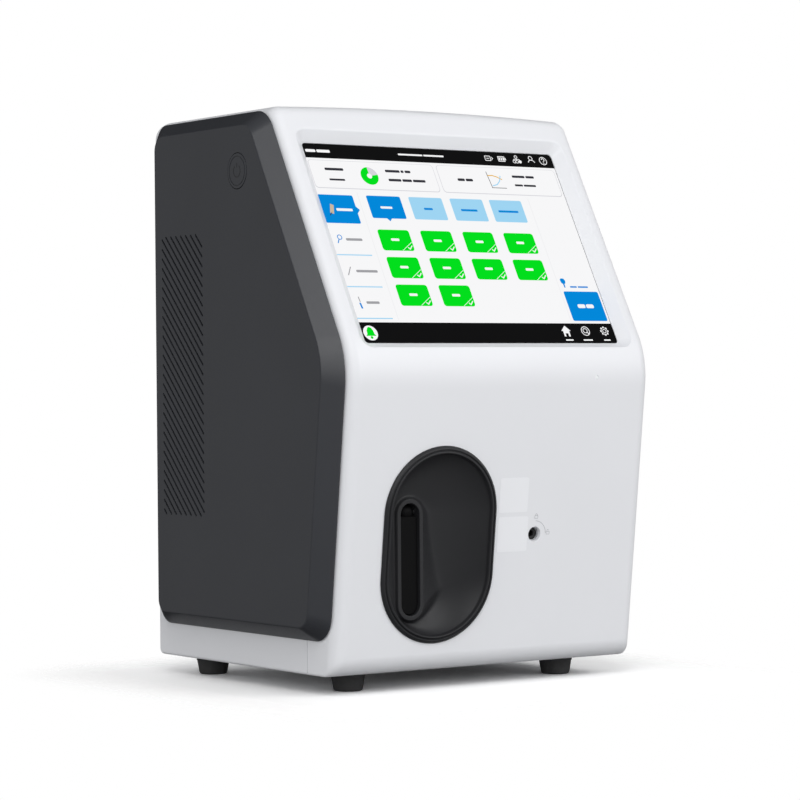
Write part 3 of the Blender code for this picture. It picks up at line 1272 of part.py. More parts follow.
def cassette_holder():
    """Heated block in the upper compartment that the sensor cassette slides into."""
    left = bay_wall()
    front = KINK_Y + CASSETTE_DEPTH
    low = SHELF_HEIGHT + SHELF_THICK + 0.0070
    holder = block("cassette_holder", (left, front, low),
                   (left + HOLDER_WIDTH, front + HOLDER_SPAN, low + HOLDER_TALL), "aluminium")
    slot = block("cassette_slot", (left + HOLDER_BACK, front + HOLDER_WALL, low + HOLDER_WALL),
                 (left + HOLDER_WIDTH + 0.01, front + HOLDER_SPAN - HOLDER_WALL, low + HOLDER_TALL - HOLDER_WALL))
    window = block("cassette_window", (left + HOLDER_BACK + 0.006, front - 0.01, low + 0.020),
                   (left + HOLDER_WIDTH + 0.01, front + HOLDER_WALL + 0.001, low + HOLDER_TALL - 0.020))
    return cut(holder, slot, window)


def sensor_cassette():
    """Cassette with the sensors; a ribbed grip stands out of its holder."""
    left = bay_wall() + HOLDER_BACK + GAP
    front = KINK_Y + CASSETTE_DEPTH + HOLDER_WALL + GAP
    rear = KINK_Y + CASSETTE_DEPTH + HOLDER_SPAN - HOLDER_WALL - GAP
    low = SHELF_HEIGHT + SHELF_THICK + 0.0070 + HOLDER_WALL + GAP
    high = low + HOLDER_TALL - 2 * HOLDER_WALL - 2 * GAP
    out = bay_wall() + HOLDER_WIDTH
    cassette = block("sensor_cassette", (left, front, low), (out + 0.002, rear, high), "blue_plastic")
    middle = (front + rear) / 2
    grip = block("cassette_grip", (out, middle - 0.0035, low + 0.008),
                 (out + CASSETTE_GRIP, middle + 0.0035, high - 0.008))
    join(cassette, grip)
    for step in range(3):
        across = out + CASSETTE_GRIP - 0.0030 - 0.0035 * step
        for side in (-1, 1):
            edge = middle + side * 0.0035
            cut(cassette, block("grip_groove_%d_%d" % (step, side), (across - 0.0006, edge - 0.0006, low),
                                (across + 0.0006, edge + 0.0006, high)))
    return cassette


def pump_place(across=0.0):
    """Frame on the pump's axis, local Z along world X."""
    return Matrix.Translation((across, KINK_Y + PUMP_DEPTH, PUMP_HEIGHT)) @ AXIS_X


def pump_head():
    """Peristaltic pump body: an arch-shaped track that is open below for the tube."""
    left = bay_wall()
    half = PUMP_HEAD / 2
    body = extruded("pump_head", rounded_rectangle(PUMP_HEAD, PUMP_HEAD, 0.006), pump_place(left),
                    0.0, PUMP_THICK, "black_plastic")
    track = rod("pump_track", (0, 0), PUMP_CAVITY, PUMP_BACK, PUMP_THICK + 0.01, pump_place(left), sides=32)
    mouth = block("pump_mouth", (-PUMP_CAVITY, -half - 0.01, PUMP_BACK),
                  (PUMP_CAVITY, 0.0, PUMP_THICK + 0.01), frame=pump_place(left))
    bore = rod("pump_bore", (0, 0), PUMP_SHAFT + RUNNING, -0.01, PUMP_BACK + 0.01, pump_place(left), sides=16)
    return cut(body, track, mouth, bore)


def pump_rotor():
    """Two discs with three rollers between them, on the motor's shaft."""
    left = bay_wall()
    frame = pump_place(left)
    start = PUMP_BACK + 2 * GAP
    end = PUMP_THICK - 0.0010
    rotor = rod("pump_rotor", (0, 0), PUMP_DISC, start, start + 0.002, frame, "grey_plastic", sides=24)
    join(rotor, rod("rotor_disc", (0, 0), PUMP_DISC, end - 0.002, end, frame, sides=24),
         rod("rotor_hub", (0, 0), 0.0060, start + 0.001, end - 0.001, frame, sides=16),
         rod("rotor_shaft", (0, 0), PUMP_SHAFT, -BULKHEAD_SHEET - 0.0080, start + 0.001, frame, sides=16))
    for step in range(3):
        angle = math.radians(90 + 120 * step)
        centre = (PUMP_ARM * math.cos(angle), PUMP_ARM * math.sin(angle))
        join(rotor, rod("roller_%d" % step, centre, ROLLER_RADIUS, start + 0.001, end - 0.001, frame, sides=12))
    return pivot_on(rotor, frame @ Vector((0, 0, 0)), "pump_axis")


def pump_motor():
    frame = pump_place(BULKHEAD_X - GAP)
    motor = rod("pump_motor", (0, 0), PUMP_MOTOR_RADIUS, -PUMP_MOTOR_LENGTH, 0.0, frame, "black_plastic",
                sides=24)
    plate = extruded("motor_plate", rounded_rectangle(0.042, 0.042, 0.004), frame, -0.0040, 0.0)
    bore = rod("motor_bore", (0, 0), PUMP_SHAFT + RUNNING, -MOTOR_BORE, 0.01, frame, sides=16)
    return cut(join(motor, plate), bore)


def pump_tube():
    """Silicone tube over the rollers, its ends down to the barbs on the shelf."""
    frame = pump_place(bay_wall() + PUMP_BACK + 0.0090)
    radius = PUMP_CAVITY - GAP - TUBE_RADIUS
    foot_level = SHELF_HEIGHT + SHELF_THICK + GAP - PUMP_HEIGHT
    path = [(-radius, foot_level)]
    path += [(-radius * math.cos(math.pi * step / 12), radius * math.sin(math.pi * step / 12))
             for step in range(13)]
    path += [(radius, foot_level)]
    curve = bpy.data.curves.new("pump_tube", 'CURVE')
    curve.dimensions = '3D'
    curve.bevel_depth = TUBE_RADIUS
    curve.bevel_resolution = 1
    curve.use_fill_caps = True
    spline = curve.splines.new('POLY')
    spline.points.add(len(path) - 1)
    for point, (across, up) in zip(spline.points, path):
        point.co = (across, up, 0.0, 1.0)
    guide = bpy.data.objects.new("pump_tube_guide", curve)
    TOOLS.objects.link(guide)
    graph = bpy.context.evaluated_depsgraph_get()
    mesh = bpy.data.meshes.new_from_object(guide.evaluated_get(graph))
    bpy.data.objects.remove(guide)
    shape = bmesh.new()
    shape.from_mesh(mesh)
    bpy.data.meshes.remove(mesh)
    tube = place("pump_tube", finish_mesh(shape, "pump_tube", smooth=True), frame, "silicone")
    for side in (-1, 1):
        cut(tube, rod("tube_bore_%d" % side, (KINK_Y + PUMP_DEPTH, bay_wall() + PUMP_BACK + 0.0090),
                      BARB_RADIUS + RUNNING, SHELF_HEIGHT, SHELF_HEIGHT + SHELF_THICK + BARB_LENGTH + 0.001,
                      Matrix.Translation((0, side * radius, 0)) @ SWAPPED, sides=8))
    return tube


def shelf_barbs(shelf):
    """Two hose barbs on the shelf that the pump tube is pushed on to."""
    radius = PUMP_CAVITY - GAP - TUBE_RADIUS
    for side in (-1, 1):
        join(shelf, rod("barb_%d" % side, (KINK_Y + PUMP_DEPTH, bay_wall() + PUMP_BACK + 0.0090),
                        BARB_RADIUS, SHELF_HEIGHT + SHELF_THICK / 2, SHELF_HEIGHT + SHELF_THICK + BARB_LENGTH,
                        Matrix.Translation((0, side * radius, 0)) @ SWAPPED, sides=8))
    return shelf


def power_supply():
    """Enclosed supply on the base plate with cooling slots in its lid."""
    low = base_top() + GAP
    supply = block("power_supply", (SUPPLY_LEFT, KINK_Y + SUPPLY_FRONT, low),
                   (SUPPLY_RIGHT, KINK_Y + SUPPLY_REAR, SUPPLY_TOP), "galvanised_steel")
    for step in range(6):
        x = SUPPLY_LEFT + 0.016 + 0.012 * step
        cut(supply, block("supply_slot_%d" % step, (x, KINK_Y + SUPPLY_FRONT + 0.015, SUPPLY_TOP - 0.003),
                          (x + 0.004, KINK_Y + SUPPLY_REAR - 0.015, SUPPLY_TOP + 0.01)))
    return supply


def battery_pack():
    low = base_top() + GAP
    battery = block("battery_pack", (BATTERY_LEFT, KINK_Y + BATTERY_FRONT, low),
                    (BATTERY_RIGHT, KINK_Y + BATTERY_REAR, BATTERY_TOP), "blue_plastic")
    return soften(battery, 0.003, 2)


def fan_frame():
    """Square fan frame behind the vent slots, with a motor seat on three arms."""
    middle = (KINK_Y + FAN_DEPTH, FAN_HEIGHT)
    outer = -INNER_SIDE + GAP
    frame = extruded("fan_frame", rounded_rectangle(FAN_SIZE, FAN_SIZE, 0.004, middle), AXIS_X,
                     outer, outer + FAN_THICK, "black_plastic")
    tunnel = rod("fan_tunnel", middle, FAN_OPENING, outer - 0.01, outer + FAN_THICK + 0.01, AXIS_X, sides=32)
    cut(frame, tunnel)
    inner = outer + FAN_THICK
    for step in range(3):
        turn = Matrix.Translation((0, *middle)) @ Matrix.Rotation(math.radians(30 + 120 * step), 4, 'X')
        join(frame, block("fan_arm_%d" % step, (inner - 0.002, -0.002, 0.0),
                          (inner, 0.002, FAN_OPENING + 0.001), frame=turn))
    join(frame, rod("fan_seat", middle, FAN_HUB - 0.001, inner - 0.002, inner, AXIS_X, sides=24),
         rod("fan_axle", middle, FAN_AXLE, inner - 0.009, inner - 0.001, AXIS_X, sides=12))
    return frame


def fan_rotor():
    """Hub with pitched blades."""
    middle = (KINK_Y + FAN_DEPTH, FAN_HEIGHT)
    start = -INNER_SIDE + GAP + 0.0010
    end = -INNER_SIDE + GAP + FAN_THICK - 0.002 - 2 * GAP
    rotor = rod("fan_rotor", middle, FAN_HUB, start, end, AXIS_X, "black_plastic", sides=28)
    length = end - start
    for step in range(FAN_BLADES):
        turn = (Matrix.Translation(((start + end) / 2, *middle))
                @ Matrix.Rotation(2 * math.pi * step / FAN_BLADES, 4, 'X')
                @ Matrix.Translation((0, 0, FAN_HUB - 0.001)) @ Matrix.Rotation(math.radians(50), 4, 'Z'))
        join(rotor, block("blade_%d" % step, (-length / 2, -0.0006, 0.0),
                          (length / 2, 0.0006, FAN_OPENING - FAN_HUB), frame=turn))
    bore = rod("fan_bore", middle, FAN_AXLE + RUNNING, end - 0.008, end + 0.01, AXIS_X, sides=12)
    cut(rotor, bore)
    return pivot_on(rotor, ((start + end) / 2, *middle), "fan_axis")


def power_inlet():
    """Mains inlet in the rear wall: flange outside, three blades in a keyed well."""
    width = INLET_WIDTH - 2 * GAP
    tall = INLET_TALL - 2 * GAP
    frame = Matrix.Translation((INLET_X, REAR_Y, INLET_HEIGHT)) @ SWAPPED_REAR
    inlet = extruded("power_inlet", rounded_rectangle(width + 0.004, tall + 0.004, 0.002), frame,
                     GAP, 0.0025, "black_plastic")
    body = extruded("inlet_body", rectangle(width, tall), frame, -INLET_REACH, 0.001)
    well = [(-INLET_WELL / 2, -0.0080), (INLET_WELL / 2, -0.0080), (INLET_WELL / 2, 0.0030),
            (INLET_WELL / 2 - 0.005, 0.0080), (-INLET_WELL / 2 + 0.005, 0.0080), (-INLET_WELL / 2, 0.0030)]
    join(inlet, body)
    cut(inlet, extruded("inlet_well", well, frame, -WELL_DEPTH, 0.01))
    for label, across, up in (("left", -0.007, 0.0), ("middle", 0.0, 0.0038), ("right", 0.007, 0.0)):
        join(inlet, block("blade_" + label, (across - 0.001, up - 0.002, -0.018),
                          (across + 0.001, up + 0.002, -0.0020), frame=frame))
    return inlet


def io_panel():
    """Steel panel behind the rear wall with a network socket and two data sockets."""
    frame = Matrix.Translation((PANEL_X, REAR_Y, PANEL_HEIGHT)) @ SWAPPED_REAR
    face = -WALL - GAP
    panel = extruded("io_panel", rectangle(PANEL_WIDTH + 0.008, PANEL_TALL + 0.008), frame,
                     face - BASE_SHEET, face, "galvanised_steel")
    for label, across, wide, tall, deep in PANEL_SOCKETS:
        join(panel, block("shell_" + label, (across - wide / 2 - 0.0012, -tall / 2 - 0.0012, face - deep - 0.0015),
                          (across + wide / 2 + 0.0012, tall / 2 + 0.0012, -0.0006), frame=frame))
        cut(panel, block("socket_" + label, (across - wide / 2, -tall / 2, face - deep),
                         (across + wide / 2, tall / 2, 0.01), frame=frame))
    return panel


def build():
    front_cover()
    rear_housing()
    left_side_cover()
    right_door()
    hinge_bracket("hinge_bracket_lower", BARREL_LOW)
    hinge_bracket("hinge_bracket_upper", BARREL_HIGH)
    hinge_pin("hinge_pin_lower", BARREL_LOW)
    hinge_pin("hinge_pin_upper", BARREL_HIGH)
    door_catch()
    door_strike()
    power_button()
    switch_board()
    touch_glass()
    lcd_module()
    screen_frame()
    main_board()
    port_bezel()
    probe_lever()
    probe_needle()
    probe_shaft()
    lock_sleeve()
    lock_spindle()
    status_light_pipe()
    foot("foot_front_left", -FOOT_X, FOOT_FRONT)
    foot("foot_front_right", FOOT_X, FOOT_FRONT)
    foot("foot_rear_left", -FOOT_REAR_X, FOOT_REAR)
    foot("foot_rear_right", FOOT_REAR_X, FOOT_REAR)
    base_plate()
    bulkhead()
    shelf_barbs(bay_shelf())
    bay_tray()
    reagent_pack()
    cassette_holder()
    sensor_cassette()
    pump_head()
    pump_rotor()
    pump_motor()
    pump_tube()
    power_supply()
    battery_pack()
    fan_frame()
    fan_rotor()
    power_inlet()
    io_panel()


build()
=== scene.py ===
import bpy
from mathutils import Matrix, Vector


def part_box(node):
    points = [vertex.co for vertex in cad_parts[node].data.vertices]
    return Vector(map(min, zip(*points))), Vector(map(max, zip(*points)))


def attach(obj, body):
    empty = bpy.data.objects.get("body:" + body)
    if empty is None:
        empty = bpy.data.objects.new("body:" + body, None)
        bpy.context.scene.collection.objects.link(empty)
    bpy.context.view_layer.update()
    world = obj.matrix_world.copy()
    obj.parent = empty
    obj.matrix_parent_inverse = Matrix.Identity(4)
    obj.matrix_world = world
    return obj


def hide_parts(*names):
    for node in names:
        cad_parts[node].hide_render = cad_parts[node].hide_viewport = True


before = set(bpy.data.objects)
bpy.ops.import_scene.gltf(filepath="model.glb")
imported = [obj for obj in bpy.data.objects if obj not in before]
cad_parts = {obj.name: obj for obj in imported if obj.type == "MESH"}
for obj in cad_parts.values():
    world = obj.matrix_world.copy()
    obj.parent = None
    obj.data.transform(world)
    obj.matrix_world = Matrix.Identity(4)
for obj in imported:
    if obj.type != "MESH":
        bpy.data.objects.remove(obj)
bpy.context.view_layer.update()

import math

import bmesh
import bpy
from mathutils import Matrix, Vector

# Sizes of the CAD model, in metres
GAP = 0.0003
HOUSING_WIDTH = 0.2504
HOUSING_DEPTH = 0.2501
HOUSING_TOP = 0.3912
HOUSING_BOTTOM = 0.0133
TOP_CROWN = 0.0028
WALL = 0.0032
KINK_HEIGHT = 0.221
SCREEN_TILT = math.radians(28.95)
UNDERCUT = math.radians(6.9)
KINK_ROUND = 0.060
TURNS = (0.014, 0.006, 0.012, 0.012, KINK_ROUND)
SIDE_ROUND = 0.009
REAR_EDGE_ROUND = 0.0045
BOTTOM_EDGE_ROUND = 0.0020
SEAM_DEPTH = 0.055
SEAM_BEND_HEIGHT = 0.200
SEAM = 0.0005
SCREEN_WIDTH = 0.2112
SCREEN_HEIGHT = 0.1552
SCREEN_FOOT = 0.0151
SCREEN_DEPTH = 0.0063
SCREEN_MARGIN = 0.0039
RECESS_RUN = 0.0073
RECESS_CORNER = 0.009
SCREEN_CORNER = 0.003
RECESS_ROUND = 0.0024
GLASS_FRONT = 0.0072
PORT_X = -0.0469
PORT_TOP = 0.0579
PORT_WIDTH = 0.0910
PORT_HEIGHT = 0.1325
PORT_HOLE_MARGIN = 0.0021
PORT_RIM = 0.0056
PORT_NECK = 0.0040
PORT_WALL = 0.0028
BOWL_RIGHT = 0.0150
BOWL_TOP = 0.0125
BOWL_BOTTOM = 0.0070
BOWL_LEAST = 0.0030
BOWL_FALL = 0.45
BOWL_BLEND = 0.0024
FLANK_STEEP = 2.5
FLANK_BOTTOM = 1.2
FLANK_LOW = 0.5
FLANK_HIGH = 0.85
SLOT_X = -0.0659
SLOT_FOOT = 0.1710
SLOT_WIDTH = 0.0148
SLOT_HEIGHT = 0.0743
SLOT_LIP = 0.0031
SLOT_REACH = 0.0180
LIP_STEP = 0.0006
LIP_EDGE = 0.0005
TUBE_WALL = 0.0036
PORT_ARC = 20                     # steps in a quarter turn of the port's rings
PORT_STRAIGHT = 24
PORT_BOWL_STEPS = 44
LOCK_X = 0.0323
LOCK_DROP = 0.1201
LOCK_HOLE = ((0.0050, -0.02), (0.0050, -0.0006), (0.00515, -0.0002), (0.0056, 0.00005), (0.0060, 0.01))
LAMP_X = 0.0778
LAMP_HEIGHT = 0.2078
LAMP_HOLE = 0.0014
BAY_FRONT = 0.066
BAY_REAR = 0.226
BAY_BOTTOM = 0.038
BAY_TOP = 0.200
UPPER_FRONT = 0.128
UPPER_BOTTOM = 0.212
UPPER_TOP = 0.300
INLET_X = -0.07
INLET_HALF = 0.01375
INLET_HEIGHTS = (0.040, 0.060)
PANEL_ENDS = (0.010, 0.080)
PANEL_HEIGHTS = (0.038, 0.062)
COVER_THICK = 0.0140
COVER_SHELL = 0.0026
COVER_BOTTOM = 0.0364
COVER_TOP = 0.3889
COVER_BEVEL = 0.0094
COVER_TOP_BEVEL = 0.0101
LEFT_INSETS = (0.0042, 0.0065)
LEFT_REAR_BEVEL = 0.0190
DOOR_INSETS = (0.0160, 0.0200)
DOOR_REAR_BEVEL = 0.0100
SCOOP_HEIGHTS = (0.140, 0.190)
SHADOW_GAP = 0.0008
COVER_ROUNDS = (0.018, 0.014, 0.014, 0.020, 0.060)
PLATEAU_ROUNDS = (0.012, 0.009, 0.010, 0.015, 0.050)
VENT_FRONT = 0.1623
VENT_REAR = 0.2169
VENT_BOTTOM = 0.1147
VENT_TOP = 0.3082
VENT_PITCH = 0.00674
VENT_WIDTH = 0.0016
BUTTON_DEPTH = 0.1152
BUTTON_HEIGHT = 0.3485
BUTTON_RADIUS = 0.0120
MARK_RADIUS = 0.0042
MARK_LINE = 0.0005
PLATES = ((0.0239, 0.0235, (0.01285, -0.0927)), (0.0249, 0.0238, (0.01355, -0.1194)))
PLATE_CORNER = 0.0015
PADLOCK_ARC = 0.0092              # radius of the arc from the shut padlock to the open one
PADLOCK_LINE = 0.00028
PRINT_LIFT = 0.00001
HINGE_X = 0.1312
HINGE_Y = 0.11105
BARREL_RADIUS = 0.0045
BARREL_LENGTH = 0.0200
BARRELS = (0.0700, 0.3300)
PIN_BORE = 0.0018

HALF_WIDTH = HOUSING_WIDTH / 2
REAR_Y = HOUSING_DEPTH / 2
NOSE = (KINK_ROUND / math.cos((SCREEN_TILT + UNDERCUT) / 2) * math.cos((SCREEN_TILT - UNDERCUT) / 2)
        - KINK_ROUND)
KINK_Y = -HOUSING_DEPTH / 2 - NOSE
INNER_SIDE = HALF_WIDTH - WALL
SCREEN_MIDDLE = SCREEN_FOOT + SCREEN_HEIGHT / 2
PORT_MIDDLE = -PORT_TOP - PORT_HEIGHT / 2

AXIS_X = Matrix(((0, 0, 1, 0), (1, 0, 0, 0), (0, 1, 0, 0), (0, 0, 0, 1)))
AXIS_Z = Matrix.Identity(4)
UPRIGHT_FRONT = Matrix(((1, 0, 0, 0), (0, 0, -1, 0), (0, 1, 0, 0), (0, 0, 0, 1)))
LEFT_FACE = Matrix(((0, 0, -1, 0), (-1, 0, 0, 0), (0, 1, 0, 0), (0, 0, 0, 1)))
KINK = Matrix.Translation((0, KINK_Y, KINK_HEIGHT))
SCREEN_FACE = KINK @ Matrix.Rotation(math.pi / 2 - SCREEN_TILT, 4, 'X')
LOWER_FACE = KINK @ Matrix.Rotation(math.pi / 2 + UNDERCUT, 4, 'X')
SLOT_FACE = (Matrix.Translation(LOWER_FACE @ Vector((0, -SLOT_FOOT, 0)))
             @ Matrix.Rotation(math.pi / 2, 4, 'X'))

# Light and camera
WORLD_LOW = 0.40                  # the white surroundings as a light, level and overhead
WORLD_HIGH = 0.30
WALL_FRONT_LEFT = 0.26            # the studio's walls as they are reflected
WALL_FRONT_RIGHT = 0.80
WALL_LEFT = 0.46
WALL_BACK = 0.02
WALL_RIGHT = 0.90
WALL_COLOUR = 0.8
FLOOR_SEEN = 1.32                 # lifts the floor to the white of the background
FLOOR_BOUNCE = 0.58
FLOOR_GLOSS = 0.03
FLOOR_FADE = 0.11
FLOOR_CORE = (0.130, 0.125, 0.0)  # half of the area round which the floor fades
LIGHT_TARGET = (0.0, 0.0, 0.20)
# Light that reaches a white face turned to the softbox, its side, direction, distance, shows in gloss
SOFTBOXES = {
    "front_right_softbox": (0.41, 1.6, (0.45, -0.80, 0.40), 2.6, True),
    "top_left_softbox": (0.27, 1.2, (-0.465, -0.60, 0.65), 2.4, True),
    "low_left_softbox": (0.17, 1.2, (-0.62, -0.76, 0.27), 2.4, True),
    "left_fill": (0.15, 1.6, (-0.97, -0.20, 0.10), 2.4, False),
    "rear_fill": (0.34, 1.6, (0.35, 0.93, 0.15), 2.4, False),
}
SENSOR = 36.0
CAMERA_FOCUS = 2842.0 / 800.0     # focal length over the picture's width
CAMERA_SHIFT = (-4.07 / 800.0, 0.86 / 800.0)
CAMERA_PLACE = (-1.1384, -1.6435, 0.2067)
CAMERA_YAW = math.radians(34.8)
CAMERA_PITCH = math.radians(0.41)
CAMERA_ROLL = math.radians(-0.50)


# ---- materials ----

def feed(tree, made, inputs):
    """Give each input its number or colour, or the output that drives it."""
    for socket, value in inputs.items():
        if isinstance(value, bpy.types.NodeSocket):
            tree.links.new(value, made.inputs[socket])
        else:
            made.inputs[socket].default_value = value


def node(tree, kind, inputs=None, **settings):
    made = tree.nodes.new(kind)
    for key, value in settings.items():
        setattr(made, key, value)
    feed(tree, made, inputs or {})
    return made


def surface(made, inputs):
    feed(made.node_tree, made.node_tree.nodes["Principled BSDF"], inputs)
    return made


def principled(name, colour, roughness, metallic=0.0, specular=0.5, coat=0.0):
    made = bpy.data.materials.new("fine_" + name)
    made.use_nodes = True
    return surface(made, {"Base Color": (*colour, 1.0), "Roughness": roughness, "Metallic": metallic,
                          "Specular IOR Level": specular, "Coat Weight": coat})


def spot_of(tree):
    return node(tree, "ShaderNodeTexCoord").outputs["Object"]


def noise_of(tree, scale, detail=2.0, stretch=(1, 1, 1)):
    spot = node(tree, "ShaderNodeMapping", {"Vector": spot_of(tree), "Scale": stretch})
    return node(tree, "ShaderNodeTexNoise", {"Vector": spot.outputs["Vector"], "Scale": scale,
                                             "Detail": detail}).outputs["Fac"]


def ramp_between(tree, source, low, high, start=0.3, end=0.7, kind='LINEAR'):
    return node(tree, "ShaderNodeMapRange", {"Value": source, "From Min": start, "From Max": end,
                                             "To Min": low, "To Max": high},
                interpolation_type=kind).outputs["Result"]


def soft_step(tree, source, start, end, low=0.0, high=1.0):
    return ramp_between(tree, source, low, high, start, end, 'SMOOTHSTEP')


def tinted(tree, source, dark, light):
    return node(tree, "ShaderNodeMix", {"Factor": source, "A": (*dark, 1.0), "B": (*light, 1.0)},
                data_type='RGBA').outputs["Result"]


def bumped(tree, source, strength, distance):
    return node(tree, "ShaderNodeBump", {"Strength": strength, "Distance": distance,
                                         "Height": source}).outputs["Normal"]


def moulded(name, colour, roughness, grain=900.0, depth=0.00002, spread=0.03, specular=0.5, coat=0.0):
    """Moulded plastic: fine spark grain, faint mottle in colour and gloss."""
    made = principled(name, colour, roughness, specular=specular, coat=coat)
    tree = made.node_tree
    mottle = ramp_between(tree, noise_of(tree, 14.0, 3.0), 0.0, 1.0)
    dark = tuple(value * (1 - spread) for value in colour)
    light = tuple(min(1.0, value * (1 + spread)) for value in colour)
    fine = noise_of(tree, grain)
    return surface(made, {"Base Color": tinted(tree, mottle, dark, light),
                          "Roughness": ramp_between(tree, fine, roughness * 0.92, roughness * 1.08),
                          "Normal": bumped(tree, fine, 0.25, depth)})


def brushed(name, colour, roughness, stretch=(1, 40, 1)):
    """Metal with fine lines from its finish."""
    made = principled(name, colour, roughness, metallic=1.0)
    tree = made.node_tree
    lines = noise_of(tree, 60.0, 4.0, stretch)
    dark = tuple(value * 0.92 for value in colour)
    return surface(made, {"Base Color": tinted(tree, ramp_between(tree, lines, 0.0, 1.0), dark, colour),
                          "Roughness": ramp_between(tree, lines, roughness * 0.8, roughness * 1.25),
                          "Normal": bumped(tree, lines, 0.15, 0.00002)})


def galvanised(name):
    """Zinc-coated sheet with its spangle."""
    made = principled(name, (0.52, 0.53, 0.55), 0.42, metallic=1.0)
    tree = made.node_tree
    cells = node(tree, "ShaderNodeTexVoronoi", {"Vector": spot_of(tree), "Scale": 130.0})
    split = node(tree, "ShaderNodeSeparateColor", {"Color": cells.outputs["Color"]}).outputs
    spangle = tinted(tree, split["Red"], (0.42, 0.43, 0.45), (0.60, 0.61, 0.63))
    return surface(made, {"Base Color": spangle,
                          "Roughness": ramp_between(tree, split["Green"], 0.34, 0.52)})


def board(name):
    """Green solder mask with faint copper tracks under it."""
    made = principled(name, (0.015, 0.12, 0.05), 0.35, coat=0.4)
    tree = made.node_tree
    tracks = node(tree, "ShaderNodeTexBrick", {
        "Vector": spot_of(tree), "Scale": 260.0, "Mortar Size": 0.03, "Color1": (0.012, 0.11, 0.045, 1),
        "Color2": (0.016, 0.13, 0.055, 1), "Mortar": (0.035, 0.20, 0.09, 1)})
    return surface(made, {"Base Color": tracks.outputs["Color"]})


def printed(name, colour, roughness=0.45):
    return moulded(name, colour, roughness, grain=1400.0, depth=0.000005, spread=0.01)


def lit(name, colour, strength=0.98):
    """A field of the display's picture, lit from behind through the grid of its dots."""
    made = principled(name, (0.0, 0.0, 0.0), 0.30, specular=0.0)
    tree = made.node_tree
    dots = node(tree, "ShaderNodeTexChecker", {
        "Vector": spot_of(tree), "Scale": 4000.0, "Color1": (*colour, 1),
        "Color2": (*tuple(value * 0.985 for value in colour), 1)})
    return surface(made, {"Emission Color": dots.outputs["Color"], "Emission Strength": strength})


WHITE = moulded("white_plastic", (0.775, 0.785, 0.815), 0.40, 1100.0, 0.000012, 0.006)
CHARCOAL = moulded("charcoal_plastic", (0.030, 0.032, 0.038), 0.40, 1000.0, 0.00003, 0.04)
PORT = moulded("port_plastic", (0.019, 0.0194, 0.0215), 0.44, 1300.0, 0.00001, specular=0.24)
BLACK = moulded("black_plastic", (0.018, 0.018, 0.019), 0.48, spread=0.05)
LEVER = moulded("lever_plastic", (0.0035, 0.0035, 0.0038), 0.55, spread=0.05, specular=0.06)
RUBBER = moulded("black_rubber", (0.050, 0.050, 0.051), 0.70, 600.0, 0.00005, 0.10)
GREY = moulded("grey_plastic", (0.32, 0.33, 0.35), 0.50)
PACK = moulded("pack_plastic", (0.62, 0.68, 0.74), 0.38, 500.0)
BLUE = moulded("blue_plastic", (0.03, 0.16, 0.42), 0.40)
SILICONE = moulded("silicone", (0.72, 0.69, 0.62), 0.55, 300.0)
STEEL = brushed("steel", (0.62, 0.63, 0.65), 0.30)
ALUMINIUM = brushed("aluminium", (0.78, 0.79, 0.80), 0.38, stretch=(40, 1, 1))
ZINC = galvanised("galvanised_steel")
BOARD = board("circuit_board")
GLASS = moulded("screen_glass", (0.010, 0.011, 0.012), 0.06, 200.0, 0.000001, coat=0.5)
LAMP = lit("lamp_plastic", (0.93, 0.95, 0.97), 0.9)
PLATE = printed("label_film", (0.83, 0.84, 0.87), 0.32)
PRINT_GREY = printed("print_grey", (0.42, 0.43, 0.46))
MARK_DARK = printed("mark_dark", (0.008, 0.008, 0.009))


# ---- mesh building ----

def mesh_of(shape, name):
    mesh = bpy.data.meshes.new(name)
    shape.to_mesh(mesh)
    shape.free()
    return mesh


def finish_mesh(shape, name):
    bmesh.ops.remove_doubles(shape, verts=shape.verts, dist=0.0000005)
    bmesh.ops.recalc_face_normals(shape, faces=shape.faces)
    mesh = mesh_of(shape, name)
    mesh.shade_smooth()
    mesh.set_sharp_from_angle(angle=math.radians(35))
    return mesh


def added(name, data):
    piece = bpy.data.objects.new(name, data)
    bpy.context.scene.collection.objects.link(piece)
    return piece


def place(name, mesh, frame_matrix):
    mesh.transform(frame_matrix)
    return added(name, mesh)


def raise_plate(shape, corners, height):
    """A plate of even thickness on a flat outline."""
    face = shape.faces.new([shape.verts.new(corner) for corner in corners])
    lifted = bmesh.ops.extrude_face_region(shape, geom=[face])
    moved = [item for item in lifted["geom"] if isinstance(item, bmesh.types.BMVert)]
    bmesh.ops.translate(shape, vec=(0, 0, height), verts=moved)


def fillet(corners, rounds, steps):
    points = []
    for index, corner in enumerate(corners):
        here = Vector(corner)
        back = (Vector(corners[index - 1]) - here).normalized()
        onward = (Vector(corners[(index + 1) % len(corners)]) - here).normalized()
        half = back.angle(onward) / 2
        inward = (back + onward).normalized()
        centre = here + inward * (rounds[index] / math.sin(half))
        start = here + back * (rounds[index] / math.tan(half)) - centre
        turn = math.pi - 2 * half
        side = 1 if back.cross(onward) < 0 else -1
        for step in range(steps[index] + 1):
            arm = start.copy()
            arm.rotate(Matrix.Rotation(side * turn * step / steps[index], 2))
            points.append(tuple(centre + arm))
    return points


def inset(corners, distances):
    lines = []
    for index, corner in enumerate(corners):
        start = Vector(corner)
        along = (Vector(corners[(index + 1) % len(corners)]) - start).normalized()
        lines.append((start + Vector((-along.y, along.x)) * distances[index], along))
    moved = []
    for index in range(len(corners)):
        before, first = lines[index - 1]
        after, second = lines[index]
        moved.append(tuple(before + first * ((after - before).cross(second) / first.cross(second))))
    return moved


def rectangle(width, height, centre):
    x, y = centre
    return [(x - width / 2, y - height / 2), (x + width / 2, y - height / 2),
            (x + width / 2, y + height / 2), (x - width / 2, y + height / 2)]


def rounded(width, height, corner, centre, steps):
    return fillet(rectangle(width, height, centre), [corner] * 4, [steps] * 4)


